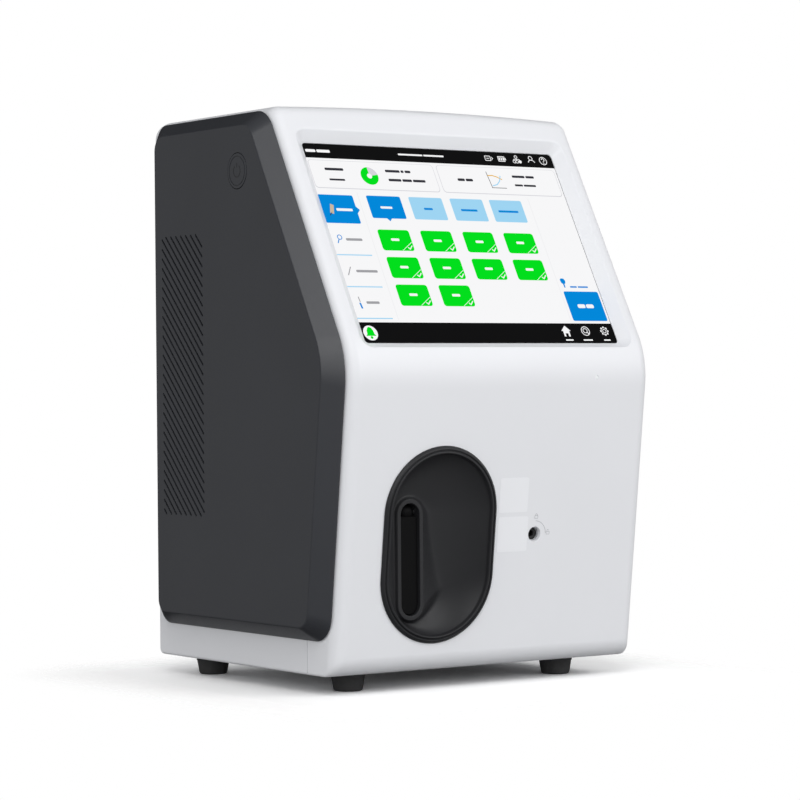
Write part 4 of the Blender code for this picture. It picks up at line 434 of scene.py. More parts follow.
def stadium(width, height, centre=(0.0, 0.0), steps=6, straight_steps=1):
    radius = width / 2
    straight = height / 2 - radius
    points = []
    for end, first in ((1, 0.0), (-1, math.pi)):
        for step in range(2 * steps + 1):
            angle = first + math.pi * step / (2 * steps)
            points.append((centre[0] + radius * math.cos(angle),
                           centre[1] + end * straight + radius * math.sin(angle)))
        for step in range(1, straight_steps):
            points.append((centre[0] - end * radius,
                           centre[1] + end * straight * (1 - 2 * step / straight_steps)))
    return points


def ring(outline, height):
    return [(across, up, height) for across, up in outline]


def loft(name, rings, frame_matrix, closed=False):
    shape = bmesh.new()
    rows = [[shape.verts.new(point) for point in row] for row in rings]
    pairs = list(zip(rows, rows[1:]))
    if closed:
        pairs.append((rows[-1], rows[0]))
    for lower, upper in pairs:
        for index in range(len(lower)):
            onward = (index + 1) % len(lower)
            shape.faces.new((lower[index], lower[onward], upper[onward], upper[index]))
    if not closed:
        shape.faces.new(rows[0])
        shape.faces.new(rows[-1])
    return place(name, finish_mesh(shape, name), frame_matrix)


def prism(name, outline, frame_matrix, start, end):
    return loft(name, [ring(outline, start), ring(outline, end)], frame_matrix)


def block(name, low, high):
    shape = bmesh.new()
    bmesh.ops.create_cube(shape, size=1.0)
    low = Vector(low)
    high = Vector(high)
    bmesh.ops.scale(shape, vec=high - low, verts=shape.verts)
    bmesh.ops.translate(shape, vec=(low + high) / 2, verts=shape.verts)
    return place(name, finish_mesh(shape, name), AXIS_Z)


def disc_outline(radius, centre=(0.0, 0.0), sides=48):
    return [(centre[0] + radius * math.cos(2 * math.pi * side / sides),
             centre[1] + radius * math.sin(2 * math.pi * side / sides)) for side in range(sides)]


def rod(name, centre, radius, start, end, frame_matrix, sides):
    return prism(name, disc_outline(radius, centre, sides), frame_matrix, start, end)


def turned(name, profile, frame_matrix, sides):
    """Closed turned piece from (radius, height) points that start and end off the axis."""
    rings = [ring(disc_outline(radius, sides=sides), height) for radius, height in profile]
    return loft(name, rings, frame_matrix)


def carve(target, operation, *tools):
    """Boolean steps, applied at once; the tools are used up."""
    for tool in tools:
        step = target.modifiers.new("step", 'BOOLEAN')
        step.operation = operation
        step.object = tool
        step.solver = 'EXACT'
    graph = bpy.context.evaluated_depsgraph_get()
    result = bpy.data.meshes.new_from_object(target.evaluated_get(graph))
    target.modifiers.clear()
    target.data = result
    for tool in tools:
        bpy.data.objects.remove(tool)
    return target


def coat(piece, material, angle):
    """Material and clean shading."""
    mesh = piece.data
    mesh.materials.clear()
    mesh.materials.append(material)
    mesh.shade_smooth()
    mesh.set_sharp_from_angle(angle=math.radians(angle))
    piece.modifiers.new("even_normals", 'WEIGHTED_NORMAL').keep_sharp = True


def polish(piece, material, angle=30, body="housing", replaces=()):
    """Coat a piece and set the body it rides on."""
    coat(piece, material, angle)
    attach(piece, body)
    if replaces:
        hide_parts(*replaces)


# ---- housing ----

def profile_corners():
    bottom_y = KINK_Y + (KINK_HEIGHT - HOUSING_BOTTOM) * math.tan(UNDERCUT)
    top_y = KINK_Y + (HOUSING_TOP - KINK_HEIGHT) * math.tan(SCREEN_TILT)
    return [(bottom_y, HOUSING_BOTTOM), (REAR_Y, HOUSING_BOTTOM), (REAR_Y, HOUSING_TOP),
            (top_y, HOUSING_TOP), (KINK_Y, KINK_HEIGHT)]


def side_round(size, from_side):
    if from_side >= size:
        return 0.0
    return size - math.sqrt(size ** 2 - (size - from_side) ** 2)


def housing_solid(name, thinner, steps, crown_steps, profile_steps):
    half = HALF_WIDTH - thinner
    corners = profile_corners()
    sides = [max(size - thinner, 0.0) for size in
             (BOTTOM_EDGE_ROUND, REAR_EDGE_ROUND, SIDE_ROUND, SIDE_ROUND, SIDE_ROUND)]
    edge = [half - sides[2] * (1 - math.sin(math.radians(90 * step / steps)))
            for step in range(steps + 1)]
    inner = [half * share / crown_steps for share in range(crown_steps)]
    right = [x for x in inner if x < edge[0] - 0.004] + edge
    rings = []
    for x in [-x for x in right[:0:-1]] + right:
        drawn = [thinner + side_round(size, half - abs(x)) for size in sides]
        sizes = [turn - max(drawn[index - 1], drawn[index]) for index, turn in enumerate(TURNS)]
        drawn[2] -= TOP_CROWN * (1 - (x / half) ** 2)
        outline = fillet(inset(corners, drawn), sizes, profile_steps)
        rings.append([(y, z, x) for y, z in outline])
    return loft(name, rings, AXIS_X)


def front_zone(name, shift):
    seam = KINK_Y + SEAM_DEPTH + shift
    high = HOUSING_TOP + 0.05
    ahead = KINK_Y - 0.05
    top_y = seam + (high - SEAM_BEND_HEIGHT) * math.tan(SCREEN_TILT)
    outline = [(ahead, -0.02), (seam, -0.02), (seam, SEAM_BEND_HEIGHT), (top_y, high), (ahead, high)]
    return prism(name, outline, AXIS_X, -HOUSING_WIDTH, HOUSING_WIDTH)


def housing_shell(name):
    outer = housing_solid(name, 0.0, 10, 12, (10, 5, 10, 10, 30))
    return carve(outer, 'DIFFERENCE', housing_solid(name + "_hollow", WALL, 2, 3, (4, 2, 4, 4, 8)))


def recess_ring(out, height):
    corner = SCREEN_CORNER + out * (RECESS_CORNER - SCREEN_CORNER) / RECESS_RUN
    outline = rounded(SCREEN_WIDTH + 2 * out, SCREEN_HEIGHT + 2 * out, corner, (0.0, SCREEN_MIDDLE), 8)
    return ring(outline, height)


def screen_recess():
    """Sloping recess whose upper edge is rounded over."""
    fall = math.atan2(SCREEN_DEPTH, RECESS_RUN)
    reach = RECESS_ROUND * math.tan(fall / 2)
    rings = [recess_ring(0.0, -SCREEN_DEPTH)]
    for step in range(7):
        angle = fall * (1 - step / 6)
        rings.append(recess_ring(RECESS_RUN + reach - RECESS_ROUND * math.sin(angle),
                                 -RECESS_ROUND * (1 - math.cos(angle))))
    rings.append(recess_ring(RECESS_RUN + reach + 0.0030, 0.0006))
    rings.append(recess_ring(RECESS_RUN + reach + 0.0040, 0.0060))
    return loft("screen_recess", rings, SCREEN_FACE)


def front_cover():
    cover = housing_shell("front_shell")
    carve(cover, 'INTERSECT', front_zone("front_zone", 0.0))
    middle = (0.0, SCREEN_MIDDLE)
    width = SCREEN_WIDTH + 2 * (SCREEN_MARGIN + GAP)
    height = SCREEN_HEIGHT + 2 * (SCREEN_MARGIN + GAP)
    carve(cover, 'UNION', prism("collar", rounded(width + 0.014, height + 0.014, 0.009, middle, 4),
                                SCREEN_FACE, -0.0090, -0.0030))
    window = rounded(SCREEN_WIDTH - 0.00002, SCREEN_HEIGHT - 0.00002, SCREEN_CORNER, middle, 8)
    hole = stadium(PORT_WIDTH - 2 * PORT_HOLE_MARGIN, PORT_HEIGHT - 2 * PORT_HOLE_MARGIN,
                   (PORT_X, PORT_MIDDLE), PORT_ARC)
    lock = [ring(disc_outline(radius, (LOCK_X, -LOCK_DROP)), height) for radius, height in LOCK_HOLE]
    carve(cover, 'DIFFERENCE', screen_recess(),
          prism("window", window, SCREEN_FACE, -0.02, -SCREEN_DEPTH + 0.0002),
          prism("rebate", rectangle(width, height, middle), SCREEN_FACE, -0.03, -0.0069),
          prism("port_hole", hole, LOWER_FACE, -0.02, 0.01),
          loft("lock_hole", lock, LOWER_FACE),
          rod("lamp_hole", (LAMP_X, LAMP_HEIGHT), LAMP_HOLE, 0.10, 0.14, UPRIGHT_FRONT, 24))
    polish(cover, WHITE, replaces=["front_cover"])


def side_opening(name, front, rear, low, high):
    return block(name, (INNER_SIDE - 0.005, KINK_Y + front, low),
                 (HALF_WIDTH + 0.01, KINK_Y + rear, high))


def rear_opening(name, left, right, low, high):
    return block(name, (left, REAR_Y - 0.01, low), (right, REAR_Y + 0.01, high))


def rear_housing():
    housing = housing_shell("rear_shell")
    margin = 0.001
    front = KINK_Y + VENT_FRONT + margin
    rear = KINK_Y + VENT_REAR - margin
    vents = block("vent_opening", (-HALF_WIDTH - 0.01, front, VENT_BOTTOM + margin),
                  (-INNER_SIDE + 0.005, rear, VENT_TOP - margin))
    carve(housing, 'DIFFERENCE', front_zone("rear_zone", SEAM), vents,
          side_opening("bay_opening", BAY_FRONT, BAY_REAR, BAY_BOTTOM, BAY_TOP),
          side_opening("upper_opening", UPPER_FRONT, BAY_REAR, UPPER_BOTTOM, UPPER_TOP),
          rear_opening("inlet_hole", INLET_X - INLET_HALF, INLET_X + INLET_HALF, *INLET_HEIGHTS),
          rear_opening("panel_hole", *PANEL_ENDS, *PANEL_HEIGHTS))
    polish(housing, WHITE, replaces=["rear_housing"])


# ---- side covers ----

def cover_corners(front, rear, low, high):
    kink_y = KINK_Y + front
    bottom_y = kink_y + (KINK_HEIGHT - low) * math.tan(UNDERCUT)
    top_y = kink_y + (high - KINK_HEIGHT) * math.tan(SCREEN_TILT)
    return [(bottom_y, low), (REAR_Y - rear, low), (REAR_Y - rear, high), (top_y, high),
            (kink_y, KINK_HEIGHT)]


def cover_shell(name, side, front, rear, rear_bevel):
    steps = (12, 8, 8, 10, 18)
    base = HALF_WIDTH + GAP
    flat = HALF_WIDTH + COVER_THICK
    outer = cover_corners(front, rear, COVER_BOTTOM, COVER_TOP)
    plateau = cover_corners(front + COVER_BEVEL, rear + rear_bevel, COVER_BOTTOM + COVER_BEVEL,
                            COVER_TOP - COVER_TOP_BEVEL)

    def section(corners, rounds, shrink, x):
        outline = fillet(inset(corners, [shrink] * 5), [size - shrink for size in rounds], steps)
        return [(y, z, side * x) for y, z in outline]

    def between(first, second, share):
        return [tuple(a + (b - a) * share for a, b in zip(p, q)) for p, q in zip(first, second)]

    low = section(outer, COVER_ROUNDS, 0.0, base + SHADOW_GAP)
    high = section(plateau, PLATEAU_ROUNDS, 0.0, flat)
    drawn = section(plateau, PLATEAU_ROUNDS, 0.0009, flat)
    near = between(low, high, 0.945)
    middle = between(between(near, drawn, 0.5), high, 0.45)
    skin = loft(name, [
        section(outer, COVER_ROUNDS, SHADOW_GAP, base),
        section(outer, COVER_ROUNDS, SHADOW_GAP, base + SHADOW_GAP),
        section(outer, COVER_ROUNDS, 0.0002, base + SHADOW_GAP),
        between(section(outer, COVER_ROUNDS, 0.0, base + SHADOW_GAP), high, 0.015),
        near, middle, drawn,
    ], AXIS_X)
    hollow = loft(name + "_hollow", [
        section(outer, COVER_ROUNDS, COVER_SHELL + SHADOW_GAP, base - 0.002),
        section(outer, COVER_ROUNDS, COVER_SHELL + SHADOW_GAP, base + SHADOW_GAP),
        section(plateau, PLATEAU_ROUNDS, COVER_SHELL, flat - COVER_SHELL),
    ], AXIS_X)
    return carve(skin, 'DIFFERENCE', hollow)


def vent_slots():
    shape = bmesh.new()
    front = KINK_Y + VENT_FRONT
    rear = KINK_Y + VENT_REAR
    lowest = VENT_BOTTOM - rear
    lean = math.radians(45)
    for index in range(int((VENT_TOP - front - lowest) / VENT_PITCH)):
        rise = lowest + VENT_PITCH * (index + 0.5)
        start_y = max(front, VENT_BOTTOM - rise)
        end_y = min(rear, VENT_TOP - rise)
        length = (end_y - start_y) / math.cos(lean)
        if length < 0.004:
            continue
        middle_y = (start_y + end_y) / 2
        outline = stadium(VENT_WIDTH, length + VENT_WIDTH / 2, steps=4)
        turn = Matrix.Translation((middle_y, middle_y + rise, 0)) @ Matrix.Rotation(-lean, 4, 'Z')
        corners = [turn @ Vector((u, v, -HALF_WIDTH - COVER_THICK - 0.003)) for u, v in outline]
        raise_plate(shape, corners, COVER_SHELL + 0.006)
    return place("vent_slots", finish_mesh(shape, "vent_slots"), AXIS_X)


def left_cover():
    cover = cover_shell("vented_cover", -1, *LEFT_INSETS, LEFT_REAR_BEVEL)
    hole = rod("button_hole", (KINK_Y + BUTTON_DEPTH, BUTTON_HEIGHT), BUTTON_RADIUS + 0.0004,
               -HALF_WIDTH - COVER_THICK - 0.002, -HALF_WIDTH - 0.004, AXIS_X, 96)
    carve(cover, 'DIFFERENCE', vent_slots(), hole)
    polish(cover, CHARCOAL, replaces=["left_side_cover"])


def right_door():
    door = cover_shell("reagent_door", 1, *DOOR_INSETS, DOOR_REAR_BEVEL)
    low, high = SCOOP_HEIGHTS
    edge_y = KINK_Y + DOOR_INSETS[0] + (KINK_HEIGHT - (low + high) / 2) * math.tan(UNDERCUT)
    carve(door, 'DIFFERENCE', block("finger_scoop", (HALF_WIDTH - 0.001, edge_y - 0.010, low),
                                    (HALF_WIDTH + 0.0045, edge_y + 0.0012, high)))
    axis = (HINGE_X, HINGE_Y)
    for low in BARRELS:
        high = low + BARREL_LENGTH
        arm = block("door_arm", (HINGE_X - BARREL_RADIUS + 0.001, HINGE_Y - 0.013, low),
                    (HINGE_X + BARREL_RADIUS, HINGE_Y, high))
        carve(door, 'UNION', arm, rod("door_barrel", axis, BARREL_RADIUS, low, high, AXIS_Z, 40))
        carve(door, 'DIFFERENCE',
              rod("door_bore", axis, PIN_BORE, low - 0.002, high + 0.002, AXIS_Z, 24))
    polish(door, CHARCOAL, body="door", replaces=["right_door"])


# ---- sample port ----

RIM_PROFILE = (
    (0.0, GAP), (0.0, 0.0006), (0.00022, 0.00092), (0.0008, 0.00156), (0.0014, 0.00212),
    (0.0018, 0.00234), (0.0021, 0.0024), (0.00233, 0.00234), (0.00246, 0.0021), (0.00255, 0.0017),
    (0.00267, 0.0016), (0.0031, 0.0016), (0.00325, 0.0017), (0.00338, 0.0022), (0.00358, 0.00254),
    (0.0040, 0.00274), (0.0044, 0.0028), (0.00476, 0.00268), (0.00505, 0.0023), (0.00526, 0.0017),
    (0.00544, 0.0009), (0.0056, 0.0))


def rim_ring(inward, proud):
    return ring(stadium(PORT_WIDTH - 2 * inward, PORT_HEIGHT - 2 * inward, (PORT_X, PORT_MIDDLE),
                        PORT_ARC, PORT_STRAIGHT), proud)


def slot_ring(grow, out):
    """Ring round the slot, upright like its lip, in the lower front's frame."""
    change = LOWER_FACE.inverted() @ SLOT_FACE
    outline = stadium(SLOT_WIDTH + 2 * grow, SLOT_HEIGHT + 2 * grow, (SLOT_X, SLOT_HEIGHT / 2),
                      PORT_ARC, PORT_STRAIGHT)
    return [change @ Vector((across, up, out)) for across, up in outline]


def flank_slope(index):
    """Fall of the lip's flank beside that ring point, counted from the slot's upper right."""
    marks = ((0, FLANK_HIGH), (PORT_ARC, FLANK_STEEP), (2 * PORT_ARC + PORT_STRAIGHT, FLANK_STEEP),
             (3 * PORT_ARC + PORT_STRAIGHT, FLANK_BOTTOM), (4 * PORT_ARC + PORT_STRAIGHT, FLANK_LOW),
             (4 * PORT_ARC + 2 * PORT_STRAIGHT, FLANK_HIGH))
    for (first, low), (last, high) in zip(marks, marks[1:]):
        if index <= last:
            return low + (high - low) * (index - first) / (last - first)
    return FLANK_HIGH


def bowl_rays():
    """For every ring point: rim point, lip point, depth the bowl falls to and slope of the flank."""
    rays = []
    lip = slot_ring(SLOT_LIP, 0.0)
    half = len(lip) / 2
    for index, (outer, inner) in enumerate(zip(rim_ring(PORT_RIM, 0.0), lip)):
        step = index if index < half else index - half
        angle = math.pi * min(step / (2 * PORT_ARC), 1.0) + (0.0 if index < half else math.pi)
        across = math.cos(angle)
        up = math.sin(angle)
        deep = (BOWL_RIGHT * max(across, 0.0) ** 2 + BOWL_TOP * max(up, 0.0) ** 2
                + BOWL_BOTTOM * max(-up, 0.0) ** 2)
        rays.append((Vector(outer), inner, max(deep, BOWL_LEAST - inner.z), flank_slope(index)))
    return rays


def bowl_fall(deep, span, from_rim):
    reach = BOWL_FALL * span
    return deep * (1 - math.exp(-from_rim / reach)) / (1 - math.exp(-1 / BOWL_FALL))


def bowl_row(rays, share):
    row = []
    for outer, inner, deep, slope in rays:
        span = (inner.xy - outer.xy).length
        side = bowl_fall(deep, span, share * span)
        flank = LIP_STEP - inner.z + slope * (1 - share) * span
        across, up = outer.xy.lerp(inner.xy, share)
        row.append((across, up, -(side + flank - math.hypot(side - flank, BOWL_BLEND)) / 2))
    return row


def shell_row(rays, share):
    row = []
    for outer, inner, deep, _ in rays:
        span = (inner.xy - outer.xy).length
        across, up = outer.xy.lerp(inner.xy, share)
        row.append((across, up, -bowl_fall(deep, span, share * span + 0.0012) - PORT_WALL))
    return row


def port_bezel():
    """Sculpted bowl that flows from the grooved rim to the upright lip of the slot."""
    rays = bowl_rays()
    rings = [rim_ring(inward, proud) for inward, proud in RIM_PROFILE]
    rings += [bowl_row(rays, step / PORT_BOWL_STEPS) for step in range(1, PORT_BOWL_STEPS)]
    edge = [(1 - math.cos(math.radians(a)), 1 - math.sin(math.radians(a))) for a in (0, 30, 60, 90)]
    rings += [slot_ring(SLOT_LIP - LIP_EDGE * inward, -LIP_EDGE * back) for inward, back in edge]
    rings += [slot_ring(LIP_EDGE * inward, -LIP_EDGE * back) for inward, back in edge[::-1]]
    tube = []
    for first, last, ray in zip(slot_ring(TUBE_WALL, 0.0), slot_ring(TUBE_WALL, -SLOT_REACH), rays):
        share = (ray[2] + PORT_WALL + first.z) / (first.z - last.z)
        tube.append(first.lerp(last, min(share, 1.0)))
    rings += [slot_ring(0.0, -SLOT_REACH), slot_ring(TUBE_WALL, -SLOT_REACH), tube]
    rings += [shell_row(rays, share) for share in (0.75, 0.45, 0.20, 0.0)]
    neck = PORT_HOLE_MARGIN + GAP
    rings += [rim_ring(neck, -PORT_NECK), rim_ring(neck, GAP)]
    bezel = loft("sample_port", rings, LOWER_FACE, closed=True)
    polish(bezel, PORT, angle=50, replaces=["port_bezel"])


# ---- small outside pieces ----

def power_button():
    middle = (-HALF_WIDTH - COVER_THICK - 0.0003, KINK_Y + BUTTON_DEPTH, BUTTON_HEIGHT)
    frame_matrix = Matrix.Translation(middle) @ LEFT_FACE
    profile = [(0.0001, -0.0060), (0.0025, -0.0060), (0.0025, -0.0044), (0.0134, -0.0044),
               (0.0134, -0.0032), (0.0120, -0.0032), (0.0120, -0.0005), (0.01185, -0.0001),
               (0.0115, 0.0), (0.01035, 0.0), (0.01015, -0.0001), (0.0101, -0.0004), (0.0096, -0.0004),
               (0.00955, -0.0001), (0.00935, 0.0), (0.0001, 0.0)]
    cap = turned("button_cap", profile, frame_matrix, 96)
    polish(cap, CHARCOAL, body="button", replaces=["power_button"])
    arc = clock_arc(0.0, 0.0, MARK_RADIUS, range(38, 323, 6))
    mark = decal("power_mark", [stroke(arc, MARK_LINE), stroke([(0, 0.0022), (0, 0.0053)], MARK_LINE)],
                 PRINT_LIFT, 0.00008, frame_matrix)
    polish(mark, MARK_DARK, body="button")


def foot(name, node_name):
    low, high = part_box(node_name)
    centre = (low + high) / 2
    top = HOUSING_BOTTOM - GAP
    profile = [(0.0001, top), (0.0112, top), (0.0117, top - 0.0002), (0.0118, top - 0.0006),
               (0.0118, top - 0.0030), (0.0117, top - 0.0033), (0.0114, top - 0.0035),
               (0.0100, 0.0014), (0.0097, 0.0006), (0.0091, 0.0001), (0.0086, 0.0),
               (0.0041, 0.0), (0.0040, 0.0002), (0.0040, 0.0040), (0.0001, 0.0040)]
    piece = turned(name, profile, Matrix.Translation((centre.x, centre.y, 0)), 72)
    polish(piece, RUBBER, replaces=[node_name])


def stroke(points, width):
    """Outline of a line of even width through points, ends square."""
    left = []
    right = []
    count = len(points)
    for index, point in enumerate(points):
        here = Vector(point)
        before = Vector(points[max(index - 1, 0)])
        after = Vector(points[min(index + 1, count - 1)])
        one = (here - before).normalized() if index else (after - here).normalized()
        two = (after - here).normalized() if index < count - 1 else one
        along = (one + two).normalized()
        across = Vector((-along.y, along.x))
        reach = width / 2 / max(0.35, abs(across.dot(Vector((-one.y, one.x)))))
        left.append(tuple(here + across * reach))
        right.append(tuple(here - across * reach))
    return left + right[::-1]


def decal(name, outlines, start, thick, frame_matrix):
    """Flat fields of one colour: each outline becomes a thin plate."""
    shape = bmesh.new()
    for outline in outlines:
        raise_plate(shape, ring(outline, start), thick)
    bmesh.ops.recalc_face_normals(shape, faces=shape.faces)
    return place(name, mesh_of(shape, name), frame_matrix)


def clock_arc(x, y, radius, degrees):
    """Points of an arc, its angles clockwise from straight up."""
    turns = [math.radians(angle) for angle in degrees]
    return [(x + radius * math.sin(turn), y + radius * math.cos(turn)) for turn in turns]


def frame_lines(x0, y0, x1, y1, width):
    return [stroke([(x0, y0), (x1, y0)], width), stroke([(x0, y1), (x1, y1)], width),
            stroke([(x0, y0), (x0, y1)], width), stroke([(x1, y0), (x1, y1)], width)]


def front_prints():
    """Two bare plates, and an arc between a shut and an open padlock round the lock."""
    plates = [rounded(width, height, PLATE_CORNER, middle, 4) for width, height, middle in PLATES]
    polish(decal("label_plates", plates, PRINT_LIFT, 0.00012, LOWER_FACE), PLATE)
    prints = [stroke(clock_arc(LOCK_X, -LOCK_DROP, PADLOCK_ARC, range(2, 89, 3)), 0.00035)]
    for across, up, open_by in ((0.0006, 0.0122, 0.0), (0.0112, 0.0010, 0.0008)):
        x = LOCK_X + across
        y = -LOCK_DROP + up
        prints += frame_lines(x - 0.0013, y - 0.0013, x + 0.0013, y + 0.0005, PADLOCK_LINE)
        shackle = [(x - 0.0008, y + 0.0005), (x - 0.0008, y + 0.0013), (x - 0.0003, y + 0.0018),
                   (x + 0.0003, y + 0.0018), (x + 0.0008, y + 0.0013),
                   (x + 0.0008, y + 0.0005 + open_by)]
        prints.append(stroke(shackle, PADLOCK_LINE))
    polish(decal("lock_marks", prints, PRINT_LIFT, 0.00005, LOWER_FACE), PRINT_GREY)


# ---- the display's picture, in millimetres from the kink line ----

MM = 0.001
PICTURE_HALF = 105.5
PICTURE_FOOT = 15.3
PICTURE_TOP = 170.2
WORD_GAP = 0.9
UI_COLOURS = {
    "white": (0.955, 0.955, 0.965), "black": (0.0065, 0.0065, 0.0068), "line": (0.68, 0.68, 0.72),
    "pale": (0.90, 0.90, 0.915), "blue": (0.001, 0.252, 0.716), "light_blue": (0.352, 0.679, 0.913),
    "green": (0.001, 0.753, 0.013), "grey": (0.36, 0.36, 0.38), "dark": (0.035, 0.035, 0.045),
    "yellow": (0.80, 0.45, 0.06), "skin": (0.62, 0.50, 0.36),
}
UI = {}


def ui_add(colour, level, *outlines):
    UI.setdefault((colour, level), []).extend(outlines)


def box_mm(x0, y0, x1, y1, corner=0.0):
    size = ((x1 - x0) * MM, (y1 - y0) * MM)
    centre = ((x0 + x1) / 2 * MM, (y0 + y1) / 2 * MM)
    return rounded(*size, corner * MM, centre, 4) if corner else rectangle(*size, centre)


def points_mm(*points):
    return [(x * MM, y * MM) for x, y in points]


def line_mm(width, *points):
    return stroke(points_mm(*points), width * MM)


def frame_mm(x0, y0, x1, y1, width):
    return frame_lines(x0 * MM, y0 * MM, x1 * MM, y1 * MM, width * MM)


def arc_mm(x, y, radius, first, last, steps=14):
    turns = [math.radians(first + (last - first) * step / steps) for step in range(steps + 1)]
    return [(x + radius * math.cos(turn), y + radius * math.sin(turn)) for turn in turns]


def ring_mm(x, y, radius, width):
    """A ring as two half strokes."""
    return [line_mm(width, *arc_mm(x, y, radius, first, first + 180, 40)) for first in (0, 180)]


def dot_mm(x, y, radius):
    return disc_outline(radius * MM, (x * MM, y * MM), 28)


def words(colour, level, x0, x1, y, height, *shares):
    """Plain bars in the place of a line of writing, one for each word."""
    shares = shares or (1,)
    scale = (x1 - x0 - WORD_GAP * (len(shares) - 1)) / sum(shares)
    left = x0
    for share in shares:
        right = left + share * scale
        ui_add(colour, level, box_mm(left, y - height / 2, right, y + height / 2, height * 0.35))
        left = right + WORD_GAP


def ui_top_bar():
    ui_add("black", 1, box_mm(-PICTURE_HALF, 159.0, PICTURE_HALF, PICTURE_TOP))
    words("white", 2, -103.6, -84.0, 164.6, 2.2, 3, 4)
    words("white", 2, -28.0, 10.4, 164.8, 1.3, 6, 5)
    # way out
    ui_add("white", 2, *frame_mm(46.3, 163.2, 50.9, 166.9, 0.5),
           line_mm(0.5, (51.7, 164.0), (52.9, 165.0), (51.7, 166.2)),
           line_mm(0.5, (47.5, 165.0), (49.7, 165.0)))
    # battery
    ui_add("white", 2, *frame_mm(57.7, 163.0, 63.3, 166.9, 0.5), box_mm(63.8, 164.2, 64.4, 165.8),
           *[box_mm(x, 163.7, x + 1.1, 166.2) for x in (58.3, 60.0, 61.7)])
    # network
    ui_add("white", 2, *ring_mm(73.8, 167.2, 1.1, 0.45), *ring_mm(71.4, 163.2, 1.1, 0.45),
           *ring_mm(73.8, 163.2, 1.1, 0.45), dot_mm(76.5, 163.3, 1.3),
           line_mm(0.45, (73.8, 166.0), (73.8, 164.4)),
           line_mm(0.45, (71.4, 164.4), (71.4, 165.2), (76.2, 165.2), (76.2, 164.6)))
    # user, help
    ui_add("white", 2, *ring_mm(86.6, 166.6, 1.6, 0.5),
           line_mm(0.5, *arc_mm(86.6, 162.0, 3.1, 20, 160)), *ring_mm(97.4, 164.8, 3.1, 0.5),
           line_mm(0.55, *arc_mm(97.4, 165.7, 1.15, 180, -60, 10)),
           box_mm(97.15, 163.6, 97.75, 164.5), dot_mm(97.4, 162.7, 0.35))


def ui_cards():
    for x0, x1 in ((-104.6, -2.2), (0.6, 103.8)):
        ui_add("line", 1, box_mm(x0, 134.9, x1, 157.3, 2.6))
        ui_add("white", 2, box_mm(x0 + 0.4, 135.5, x1 - 0.4, 157.0, 2.3))
    for row in ((-92.8, -77.8, 150.3, 2.0), (-91.6, -79.0, 142.0, 1.5),
                (-43.6, -22.6, 150.6, 2.0, 5, 1, 2), (-43.0, -12.4, 143.4, 2.0, 4, 3, 4),
                (15.8, 28.8, 146.0, 2.1, 1, 1), (64.3, 83.6, 150.4, 1.9, 3, 2),
                (64.3, 82.8, 143.2, 1.6, 2, 3)):
        words("dark", 3, *row)
    for colour, first, last, steps in (("green", 92, 370, (40, 24)), ("line", 10, 92, (16, 10))):
        ui_add(colour, 3, points_mm(*arc_mm(-57.8, 146.0, 7.0, first, last, steps[0]),
                                    *arc_mm(-57.8, 146.0, 2.0, last, first, steps[1])))
    ui_add("dark", 3, line_mm(0.45, (42.6, 153.6), (43.9, 140.4), (56.2, 140.4)))
    ui_add("yellow", 3, line_mm(0.75, (43.0, 150.4), (47.0, 150.6), (50.5, 149.6), (54.6, 147.4)))
    ui_add("light_blue", 3, line_mm(0.75, (44.6, 142.0), (49.0, 143.2), (52.0, 146.2), (54.0, 150.6)))


def ui_left_column():
    ui_add("blue", 1, box_mm(-105.3, 107.5, -77.4, 129.8, 1.2),
           points_mm((-77.6, 121.4), (-74.9, 118.4), (-77.6, 115.4)))
    ui_add("skin", 2, points_mm((-99.6, 115.6), (-96.8, 114.6), (-95.0, 121.6), (-97.6, 122.6)))
    ui_add("dark", 2, line_mm(0.6, (-100.4, 113.4), (-97.6, 116.4)))
    words("white", 2, -93.8, -80.8, 118.2, 2.0)
    for foot_line, end in ((82.9, -80.8), (58.4, -76.8), (34.3, -83.4)):
        ui_add("light_blue", 1, box_mm(-105.3, foot_line - 0.45, -77.0, foot_line + 0.35))
        words("grey", 1, -93.8, end, foot_line + 12.0, 1.9)
    ui_add("blue", 1, *ring_mm(-98.4, 96.5, 1.7, 0.6), line_mm(0.7, (-99.4, 94.9), (-101.0, 91.9)),
           line_mm(1.3, (-98.4, 41.7), (-99.0, 46.1)))
    ui_add("grey", 1, line_mm(0.7, (-101.0, 67.2), (-97.4, 73.6)),
           line_mm(0.7, (-98.6, 46.7), (-98.9, 50.7)))
    ui_add("pale", 1, *[box_mm(x, 33.5, x + 0.6, 132.5) for x in (-73.0, 71.2)])


def ui_tiles():
    tabs = (-66.3, -31.6, 2.9, 36.6)
    for index, (left, reach) in enumerate(zip(tabs, (4.8, 3.6, 7.0, 8.6))):
        ui_add("light_blue" if index else "blue", 1, box_mm(left, 112.4, left + 27.7, 130.2, 1.2))
        words("blue" if index else "white", 2, left + 13.8 - reach, left + 13.8 + reach, 121.0, 1.7)
    ui_add("blue", 1, points_mm((-55.0, 112.6), (-52.8, 110.2), (-50.6, 112.6)))
    for low, count in ((87.0, 4), (65.5, 4), (44.1, 2)):
        for left in (-66.3, -31.3, 3.9, 38.8)[:count]:
            right = left + 25.6
            ui_add("green", 1, box_mm(left, low, right, low + 16.4, 2.0))
            ui_add("white", 2, line_mm(0.35, (right - 9.6, low + 0.3), (right - 0.3, low + 7.0)),
                   line_mm(0.75, (right - 4.8, low + 2.7), (right - 3.4, low + 1.4),
                           (right - 1.0, low + 4.2)))
            words("white", 2, left + 9.0, left + 15.6, low + 8.6, 1.9)


